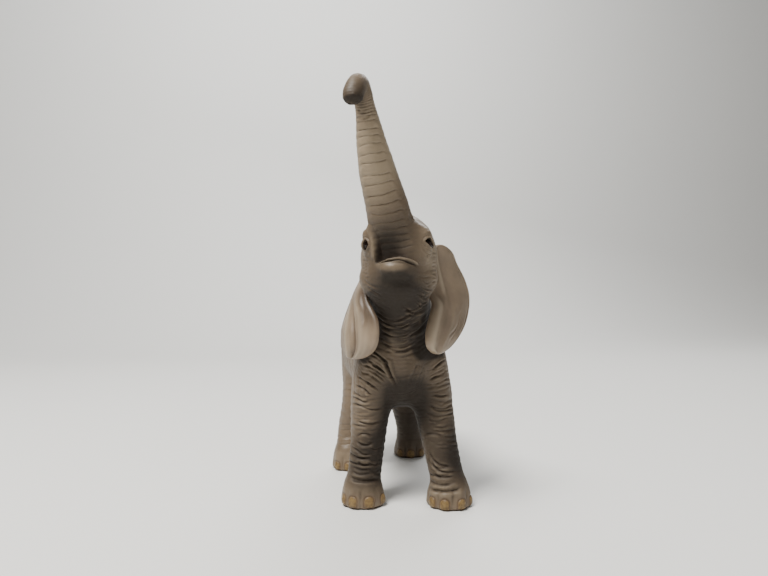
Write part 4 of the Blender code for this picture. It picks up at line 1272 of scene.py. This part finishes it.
def piece_of(name, points, faces, attributes, paint, normals=None):
    """An object of triangles with values at its points. Its open edges are closed by fans. Normals that
    are given keep the shading even across a seam."""
    sides = np.concatenate((faces[:, (0, 1)], faces[:, (1, 2)], faces[:, (2, 0)]))
    keys = np.sort(sides, 1) @ np.array((len(points), 1))
    _, first, times = np.unique(keys, return_index=True, return_counts=True)
    open_sides = sides[first[times == 1]]
    while len(open_sides):
        loop = {open_sides[0, 0]}
        count = 0
        while len(loop) > count:
            count = len(loop)
            loop |= set(open_sides[np.isin(open_sides[:, 0], list(loop)), 1])
        ours = np.isin(open_sides[:, 0], list(loop))
        rim, open_sides = open_sides[ours], open_sides[~ours]
        points = np.concatenate((points, points[rim[:, 0]].mean(0)[None]))
        attributes = {key: np.append(values, 0) for key, values in attributes.items()}
        if normals is not None:
            normals = np.concatenate((normals, normals[rim[:, 0]].mean(0)[None]))
        fan = np.stack((rim[:, 1], rim[:, 0], np.full(len(rim), len(points) - 1)), 1)
        faces = np.concatenate((faces, fan))
    used, faces = np.unique(faces, return_inverse=True)
    mesh = bpy.data.meshes.new(name)
    mesh.from_pydata(points[used] * MM, [], faces.reshape(-1, 3))
    for key, values in attributes.items():
        mesh.attributes.new(key, "FLOAT", "POINT").data.foreach_set("value", values[used])
    mesh.shade_smooth()
    if normals is not None:
        mesh.normals_split_custom_set_from_vertices(normals[used])
    mesh.materials.append(paint)
    made = link(name, mesh)
    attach(made, "root")
    return made


middles = uncut[faces].mean(1)
owner = np.full(len(faces), "torso", dtype="<U20")
owner[beyond("head", middles) > 0] = "head"
owner[(beyond("trunk", middles) > 0) & (middles[:, 2] > TRUNK_FLOOR)] = "trunk"
for leg, middle, *_ in FOOT_PLACES:
    side, front = np.sign(middle[0] - MIDDLE_X), middle[1] < LEGS_MIDDLE_Y
    ours = ((middles[:, 0] - MIDDLE_X) * side > 0) & ((middles[:, 1] < LEGS_MIDDLE_Y) == front)
    owner[ours & (beyond(leg, middles) > 0)] = leg
for node in BODY_NODES:
    casting_piece = piece_of(f"{node}_casting", skin, faces[owner == node], marks, skin_paint, outward)
    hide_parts(node)
bpy.data.meshes.remove(skin_mesh)

# Ears. Two thin flaps of the same vinyl, the left one spread with a rolled front edge and the right one
# swept back. Each is cast on its own, painted paler than the body and pushed into a slot in the head's side.
EAR_HEIGHT = 35.0
EAR_WIDTH = 20.0
EAR_THICKNESS = 2.0
EAR_ROWS = 150
EAR_TURNS = 180
EAR_CURVE_STEPS = 40
# the edge's roundness, how far the flap bows out as a share of its width, and the widths between which its
# relief grows from nothing to full
EAR_ROUNDNESS = 0.55
EAR_BOW_SHARE = 0.08
EAR_FADE = (3.5, 10.0)
EAR_TONE = (0.215, 0.160, 0.108, 1)
EAR_CLOUD = (0.175, 0.129, 0.087, 1)
EAR_RUB_AND_HIGHLIGHT = (0.42, 0.35, 0.255, 1)
EAR_WASH_AND_SHADE = (0.060, 0.040, 0.026, 1)
# height, root edge's x and y and outer edge's x and y as shares of the ear's height and width from the
# head's side, then half thickness at each edge as shares of the ear's own
LEFT_EAR_SHARES = (
    (0.092, 0.10, 0.36, 0.14, 0.37, 0.02, 0.02),
    (0.086, 0.05, 0.34, 0.19, 0.38, 0.30, 0.28),
    (0.060, -0.08, 0.31, 0.29, 0.45, 0.45, 0.34),
    (0.012, -0.14, 0.29, 0.39, 0.52, 0.50, 0.36),
    (-0.080, -0.17, 0.27, 0.49, 0.63, 0.52, 0.34),
    (-0.214, -0.17, 0.26, 0.65, 0.74, 0.55, 0.32),
    (-0.343, -0.13, 0.24, 0.73, 0.75, 0.60, 0.32),
    (-0.443, -0.06, 0.17, 0.74, 0.74, 0.66, 0.32),
    (-0.534, -0.10, 0.10, 0.71, 0.70, 0.72, 0.34),
    (-0.629, -0.16, 0.03, 0.64, 0.61, 0.76, 0.36),
    (-0.709, -0.20, -0.02, 0.55, 0.52, 0.74, 0.38),
    (-0.786, -0.21, -0.05, 0.42, 0.40, 0.68, 0.40),
    (-0.846, -0.18, -0.04, 0.28, 0.27, 0.58, 0.40),
    (-0.886, -0.10, 0.00, 0.15, 0.17, 0.46, 0.36),
    (-0.903, -0.03, 0.06, 0.07, 0.11, 0.30, 0.28),
    (-0.908, 0.01, 0.08, 0.03, 0.09, 0.02, 0.02),
)
RIGHT_EAR_SHARES = (
    (0.088, 0.29, 0.15, 0.25, 0.24, 0.02, 0.02),
    (0.080, 0.32, 0.08, 0.22, 0.30, 0.36, 0.28),
    (0.029, 0.41, 0.04, 0.19, 0.46, 0.50, 0.34),
    (-0.086, 0.41, 0.02, 0.16, 0.58, 0.52, 0.34),
    (-0.186, 0.36, 0.02, 0.12, 0.61, 0.54, 0.32),
    (-0.251, 0.23, 0.05, 0.08, 0.62, 0.56, 0.32),
    (-0.320, 0.13, 0.03, 0.04, 0.63, 0.60, 0.32),
    (-0.414, 0.12, -0.09, -0.02, 0.64, 0.64, 0.32),
    (-0.500, 0.17, -0.23, -0.07, 0.63, 0.68, 0.32),
    (-0.594, 0.23, -0.33, -0.16, 0.60, 0.72, 0.34),
    (-0.700, 0.24, -0.38, -0.225, 0.54, 0.72, 0.36),
    (-0.800, 0.22, -0.37, -0.24, 0.48, 0.68, 0.38),
    (-0.871, 0.17, -0.30, -0.22, 0.41, 0.60, 0.40),
    (-0.926, 0.08, -0.15, -0.18, 0.36, 0.46, 0.38),
    (-0.954, -0.01, 0.03, -0.15, 0.30, 0.32, 0.28),
    (-0.960, -0.05, 0.11, -0.12, 0.25, 0.02, 0.02),
)
# a fold's two lengthwise ramps, none first and full second, as shares down the flap: where it grows and
# where it goes. These two are for folds that run the whole length.
FROM_TOP = (-2, -1)
TO_FOOT = (3, 2)
EAR_WAVES = 9
VALLEY_WAVE = 0.06
# each fold's two ramps, its middle across the flap at the top, its slant, wave, half width and height
LEFT_EAR_FOLDS = (
    # a light ridge and a sunk seam beside the cheek
    (FROM_TOP, (0.62, 0.40), 0.27, 0, 0, 0.06, 0.60),
    (FROM_TOP, (0.62, 0.40), 0.16, 0, 0, 0.06, -0.45),
    # the rolled front edge and the hollow behind it
    ((0.40, 0.55), TO_FOOT, 0.10, 0, 0, 0.09, 0.70),
    ((0.40, 0.55), TO_FOOT, 0.30, 0, 0, 0.10, -0.28),
    # a soft fold low in the middle, and the rim
    ((0.50, 0.66), (0.97, 0.86), 0.42, 0, 0, 0.08, 0.35),
    (FROM_TOP, TO_FOOT, 0.965, 0, 0, 0.03, 0.22),
    (FROM_TOP, TO_FOOT, 0.92, 0, 0, 0.03, -0.12),
)
RIGHT_EAR_FOLDS = (
    # a deep valley between two rounded swells
    ((0.42, 0.68), TO_FOOT, 0.50, 0, VALLEY_WAVE, 0.055, -0.80),
    ((0.30, 0.60), TO_FOOT, 0.28, 0, VALLEY_WAVE, 0.15, 0.50),
    ((0.30, 0.60), TO_FOOT, 0.72, 0, VALLEY_WAVE, 0.15, 0.55),
    # the two edges, and the crease of the lobe that turns forward
    (FROM_TOP, TO_FOOT, 0.05, 0, 0, 0.05, 0.12),
    (FROM_TOP, TO_FOOT, 0.95, 0, 0, 0.04, -0.15),
    ((0.38, 0.48), (0.74, 0.64), -0.0815, 0.45, 0, 0.045, -0.55),
)
# painted shadow where a flap leaves the head: its strength, then where it ends across the flap and down it
LEFT_ROOT_SHADOW = (0.5, (0.10, 0.03), (0.75, 0.55))
RIGHT_ROOT_SHADOW = (1.0, (0.34, 0.14), (0.80, 0.60))


def grid_faces(rows, columns):
    """Triangles of a closed tube of points, with a pole point before its first row and after its last."""
    row, column = np.meshgrid(np.arange(rows - 1), np.arange(columns), indexing="ij")
    here = 1 + row * columns + column
    beside = 1 + row * columns + (column + 1) % columns
    walls = np.concatenate((
        np.stack((here, beside, beside + columns), 2).reshape(-1, 3),
        np.stack((here, beside + columns, here + columns), 2).reshape(-1, 3),
    ))
    ring = np.arange(columns)
    following = (ring + 1) % columns
    last = 1 + (rows - 1) * columns
    first_fan = np.stack((np.zeros(columns, int), 1 + following, 1 + ring), 1)
    last_fan = np.stack((np.full(columns, last + columns), last + ring, last + following), 1)
    return np.concatenate((walls, first_fan, last_fan))


def with_poles(grid):
    """The points of a tube's grid, with the middles of its first and last rows as poles."""
    return np.concatenate((grid[0].mean(0)[None], grid.reshape(-1, 3), grid[-1].mean(0)[None]))


def padded(values):
    """The values of a tube's grid, with none at its poles."""
    return np.concatenate(([0], values.ravel(), [0]))


def folds(height, share, rows):
    """A flap's relief: the sum of bells across it, each on its own line, that grow and go down its length."""
    total = 0
    for grows, goes, middle, slant, wave, half_width, depth in rows:
        away = share + wave * np.sin(height * EAR_WAVES) - slant * height - middle
        total = total + depth * ramp(height, *grows) * ramp(height, *goes) * bell(away, half_width)
    return total


def left_ear_pleats(height, share):
    """Soft pleats low in the flap's hind half: a sine whose phase wanders."""
    place = bell(height - 0.77, 0.13) * ramp(share, 0.45, 0.55) * ramp(share, 0.97, 0.88)
    wander = 2.0 * np.sin(height * 31) + 3.0 * np.sin(share * 17)
    return place * 0.13 * np.sin(2 * math.pi * (share + 0.35 * (height - 0.75)) / 0.085 + wander)


def right_ear_streaks(height, share):
    """Fine streaks down the flap's lower half, along its bent valley."""
    bend = share + VALLEY_WAVE * np.sin(height * EAR_WAVES)
    return ramp(height, 0.40, 0.60) * 0.07 * np.sin(2 * math.pi * bend / 0.13 + 2.0 * np.sin(height * 13))


def ear(name, node, side, ear_shares, fold_rows, fine_of, root_shadow):
    """A flap lofted through level rows. Each row is a strip from the root edge to the outer edge, as
    thick as its share of the thickness times a root of the turn's sine, bowed and creased outward."""
    rows = curve_through(ear_shares, EAR_CURVE_STEPS)
    step = run_along(rows[:, :5])
    even = np.linspace(0, step[-1], EAR_ROWS)[1:-1]
    height, x1, y1, x2, y2, thick, thin = (np.interp(even, step, column) for column in rows.T)
    head_side = HEAD_MIDDLE + side * HEAD_SIZE[0] / 2 * HEAD_RIGHTWARD
    level = head_side[2] + height * EAR_HEIGHT
    root = np.stack((head_side[0] + x1 * EAR_WIDTH, head_side[1] + y1 * EAR_WIDTH, level), 1)
    rim = np.stack((head_side[0] + x2 * EAR_WIDTH, head_side[1] + y2 * EAR_WIDTH, level), 1)
    along = unit(rim - root)
    out = np.stack((side * along[:, 1], -side * along[:, 0], np.zeros(len(along))), 1)
    turn = 2 * math.pi * np.arange(EAR_TURNS) / EAR_TURNS
    share = (1 - np.cos(turn)) / 2
    width = np.linalg.norm(rim - root, axis=1)
    down = ((height[0] - height) / (height[0] - height[-1]))[:, None]
    half = thick[:, None] + (thin - thick)[:, None] * share
    half = np.maximum(half, 0) * EAR_THICKNESS * np.sign(np.sin(turn)) * np.abs(np.sin(turn)) ** EAR_ROUNDNESS
    bow = EAR_BOW_SHARE * width[:, None] * np.sin(math.pi * share)
    relief = folds(down, share, fold_rows) + fine_of(down, share) * (np.sin(turn) > 0)
    relief = relief * ramp(width, *EAR_FADE)[:, None]
    grid = root[:, None] + (rim - root)[:, None] * share[None, :, None]
    grid = grid + out[:, None] * (half + bow + relief)[:, :, None]
    points = with_poles(grid)
    faces = grid_faces(len(root), EAR_TURNS)
    if side > 0:
        faces = faces[:, ::-1]
    relief = padded(relief)
    # painted shadow on the flap where it leaves the head
    strength, across, lengthwise = root_shadow
    root_shadow_share = padded(strength * ramp(share, *across) * ramp(down, *lengthwise))
    marks = {"wash": np.maximum(ramp(-relief, 0.10, 0.9), root_shadow_share), "rub": ramp(relief, 0.15, 0.8)}
    made = piece_of(name, points, faces, marks, ear_paint)
    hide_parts(node)


def ear_vinyl():
    """The same sprayed vinyl, paler and smoother, washed and rubbed by its own relief, with a painted shadow
    where it leaves the head.
    """
    shader = Shader("ear_vinyl")
    spot = shader.place()
    speck = shader.noise(spot, 1.1, 4.0)
    cloud = shader.noise(spot, 7.0)
    # a second ear tone laid in random clouds
    tone = shader.mix(shader.ramp(cloud, 0.35, 0.65), EAR_TONE, EAR_CLOUD)
    tone = shader.mix(shader.mark("rub") * 0.55, tone, EAR_RUB_AND_HIGHLIGHT)
    tone = shader.mix(shader.mark("wash") * 0.8, tone, EAR_WASH_AND_SHADE)
    normal = shader.bump(shader.noise(spot, 0.5, 2.0), 0.03, 0.4)
    return shader.set(Base_Color=tone, Roughness=0.46 + (speck - 0.5) * 0.25, Normal=normal)


ear_paint = ear_vinyl()
ear("left_ear_flap", "ear_left", 1, LEFT_EAR_SHARES, LEFT_EAR_FOLDS, left_ear_pleats, LEFT_ROOT_SHADOW)
ear("right_ear_flap", "ear_right", -1, RIGHT_EAR_SHARES, RIGHT_EAR_FOLDS, right_ear_streaks, RIGHT_ROOT_SHADOW)

# Eyes. Two glossy beads of near-black brown plastic, pushed into sockets under the lids.
# They are the only hard and polished parts of the figure.
EYE_NODES = {"eye_left": 1, "eye_right": -1}
EYE_TONE = (0.004, 0.0025, 0.002, 1)
EYE_STREAK = (0.030, 0.011, 0.004, 1)


def ball(middle, radius, rows=48, columns=64):
    """A sphere's points: rings about its upright axis, with poles at the top and the bottom."""
    fall = math.pi * (np.arange(rows) + 0.5) / rows
    turn = -2 * math.pi * np.arange(columns) / columns
    ring = np.stack((np.cos(turn), np.sin(turn), np.zeros(columns)), 1)
    grid = np.sin(fall)[:, None, None] * ring + np.cos(fall)[:, None, None] * np.array((0, 0, 1))
    points = np.asarray(middle) + radius * np.concatenate(([[0, 0, 1]], grid.reshape(-1, 3), [[0, 0, -1]]))
    return points, grid_faces(rows, columns)


def eye_gloss():
    """Near-black brown under clear gloss, with faint streaks of a warmer brown."""
    shader = Shader("eye_gloss")
    spot = shader.place()
    streak = shader.noise(spot, 0.5, 3.0)
    tone = shader.mix(shader.ramp(streak, 0.35, 0.70) * 0.6, EYE_TONE, EYE_STREAK)
    return shader.set(Base_Color=tone, Roughness=0.16, Specular_IOR_Level=0.30)


eye_paint = eye_gloss()
for node, side in EYE_NODES.items():
    bead = piece_of(f"{node}_bead", *ball(eye_middle(side), EYE_RADIUS), {}, eye_paint)
    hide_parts(node)

# Tail. A tapering casting of the same vinyl with a round root, pushed into a hole in the rump and glued.
# Its end is a tuft of coarse hair, moulded in locks and washed darker.
TAIL_LENGTH = 32.0
TAIL_THICKNESS = 4.0
TAIL_PLUG = 3.0
# how far back and how far down as shares of its length, then its half width and half depth as shares of
# its thickness
TAIL_SHARES = (
    (0.00, 0.00, 0.50, 0.50),
    (0.10, 0.02, 0.46, 0.44),
    (0.18, 0.12, 0.40, 0.37),
    (0.225, 0.32, 0.32, 0.30),
    (0.235, 0.55, 0.27, 0.26),
    (0.225, 0.72, 0.26, 0.25),
    (0.215, 0.80, 0.38, 0.34),
    (0.205, 0.90, 0.34, 0.30),
    (0.195, 1.00, 0.14, 0.14),
)
TAIL_CURVE_STEPS = 60
TAIL_ROWS = 260
TAIL_TURNS = 72
# where the tuft begins and is full, as shares of the tail's length
TUFT_BEGINS = (0.76, 0.84)
TUFT_LOCKS = 9
TUFT_WASH = 0.35
RING_HEIGHT = 0.10
LOCK_HEIGHT = 0.34
# the last ring is drawn in to this share of its size, and this much lower
TIP_SHARE = 0.45
TIP_DROP = 0.25


def tail():
    """A tube along a curve: rings of skin that fade into upright locks where the tuft begins."""
    table = np.array(TAIL_SHARES)
    rows = np.stack((
        np.full(len(table), TAIL_ROOT[0]),
        TAIL_ROOT[1] + table[:, 0] * TAIL_LENGTH,
        TAIL_ROOT[2] - table[:, 1] * TAIL_LENGTH,
        table[:, 2] * TAIL_THICKNESS,
        table[:, 3] * TAIL_THICKNESS,
    ), 1)
    start_row = rows[:1] - (0, TAIL_PLUG, 0, 0, 0)
    rows = curve_through(np.concatenate((start_row, rows)), TAIL_CURVE_STEPS)
    step = run_along(rows[:, :3])
    even = np.linspace(0, step[-1], TAIL_ROWS)
    line = np.stack([np.interp(even, step, column) for column in rows.T], 1)
    middle, half = line[:, :3], line[:, 3:]
    ahead = unit(np.gradient(middle, axis=0))
    side = np.array((1.0, 0, 0))
    across = unit(np.cross(ahead, side))
    turn = -2 * math.pi * np.arange(TAIL_TURNS) / TAIL_TURNS
    tuft = ramp(even / even[-1], *TUFT_BEGINS)[:, None]
    sway = 0.5 * np.sin(even / 1.7)[:, None]
    rings = RING_HEIGHT * (swells(even / 1.15 + 0.25 * np.sin(even / 2.3))[:, None] - 0.7)
    locks = LOCK_HEIGHT * (swells((turn[None] * TUFT_LOCKS / math.pi + sway) / 2, 0.5) - 0.6)
    relief = (1 - tuft) * rings + tuft * locks
    spread = half[:, :, None] + relief[:, None]
    grid = middle[:, None] + (side * (np.cos(turn) * spread[:, 0])[:, :, None]
                              + across[:, None] * (np.sin(turn) * spread[:, 1])[:, :, None])
    tip = grid[-1:] * TIP_SHARE + middle[-1] * (1 - TIP_SHARE) - (0, 0, TIP_DROP)
    grid = np.concatenate((grid, tip))
    relief = np.concatenate((relief, relief[-1:]))
    tuft = np.concatenate((np.broadcast_to(tuft, relief[:-1].shape), np.ones((1, TAIL_TURNS))))
    wash = ramp(-relief, 0.0, 0.16) * 0.8 + tuft * TUFT_WASH
    marks = {"wash": padded(wash), "rub": padded(ramp(relief, 0.02, 0.1) * 0.5)}
    return with_poles(grid), grid_faces(len(grid), TAIL_TURNS), marks


tail_piece = piece_of("tail_casting", *tail(), skin_paint)
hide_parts("tail")

# Stage. A plain pale floor of painted board that runs up into the backdrop, and soft studio light from
# square soft boxes: a warm key from high left, a weak cool fill, a rim from behind and one on the backdrop.
FLOOR_TONE = (0.80, 0.80, 0.78, 1)
# in metres: the floor's front edge, where it starts to bend, the bend's radius, its top and half its width
FLOOR_FRONT = -1.5
BEND_START = 0.5
BEND_RADIUS = 0.4
BACKDROP_TOP = 2.5
BACKDROP_HALF = 3.0
LIT_MIDDLE = Vector((0, 0, 0.07))
# each light's place, size, power and tone
SOFT_BOXES = {
    "key_light": ((-0.30, -0.24, 0.74), 0.26, 11.6, (1.0, 0.97, 0.92)),
    "fill_light": ((0.60, -0.50, 0.35), 0.50, 0.5, (0.95, 0.97, 1.0)),
    "rim_light": ((0.20, 0.50, 0.60), 0.40, 3.0, (1, 1, 1)),
    "wall_light": ((0, 0.30, 0.75), 0.60, 6.5, (1, 1, 1)),
}
WALL_LIGHT_TILT = 100
WORLD_LIGHT = 0.17


def backdrop():
    """A sheet that lies flat, bends up behind the figure along a quarter circle and stands."""
    bend = np.linspace(0, math.pi / 2, 24)
    wall = BEND_START + BEND_RADIUS
    reach = np.concatenate(([FLOOR_FRONT], BEND_START + BEND_RADIUS * np.sin(bend), [wall]))
    rise = np.concatenate(([0], BEND_RADIUS - BEND_RADIUS * np.cos(bend), [BACKDROP_TOP]))
    across = np.array((-BACKDROP_HALF, BACKDROP_HALF))
    grid = np.stack(np.broadcast_arrays(across[None, :], reach[:, None], rise[:, None]), 2)
    rows = len(reach)
    first = np.arange(rows - 1) * 2
    faces = np.stack((first, first + 1, first + 3, first + 2), 1)
    mesh = bpy.data.meshes.new("backdrop")
    mesh.from_pydata(grid.reshape(-1, 3).tolist(), [], faces.tolist())
    mesh.shade_smooth()
    return mesh


floor_paint = bpy.data.materials.new("floor_paint")
floor_paint.use_nodes = True
floor_paint.node_tree.nodes["Principled BSDF"].inputs["Base Color"].default_value = FLOOR_TONE
floor_paint.node_tree.nodes["Principled BSDF"].inputs["Roughness"].default_value = 0.9
floor = link("floor", backdrop())
floor.data.materials.append(floor_paint)


def soft_light(name, place, size, power, tone):
    """A square soft box that faces the figure's middle."""
    light = bpy.data.lights.new(name, "AREA")
    light.size = size
    light.energy = power
    light.color = tone
    box = link(name, light)
    box.location = place
    box.rotation_euler = (LIT_MIDDLE - box.location).to_track_quat("-Z", "Y").to_euler()
    return box


boxes = {name: soft_light(name, *settings) for name, settings in SOFT_BOXES.items()}
boxes["wall_light"].rotation_euler = (math.radians(WALL_LIGHT_TILT), 0, 0)
world = bpy.data.worlds.new("studio")
world.use_nodes = True
world.node_tree.nodes["Background"].inputs["Color"].default_value = (1, 1, 1, 1)
world.node_tree.nodes["Background"].inputs["Strength"].default_value = WORLD_LIGHT
scene.world = world
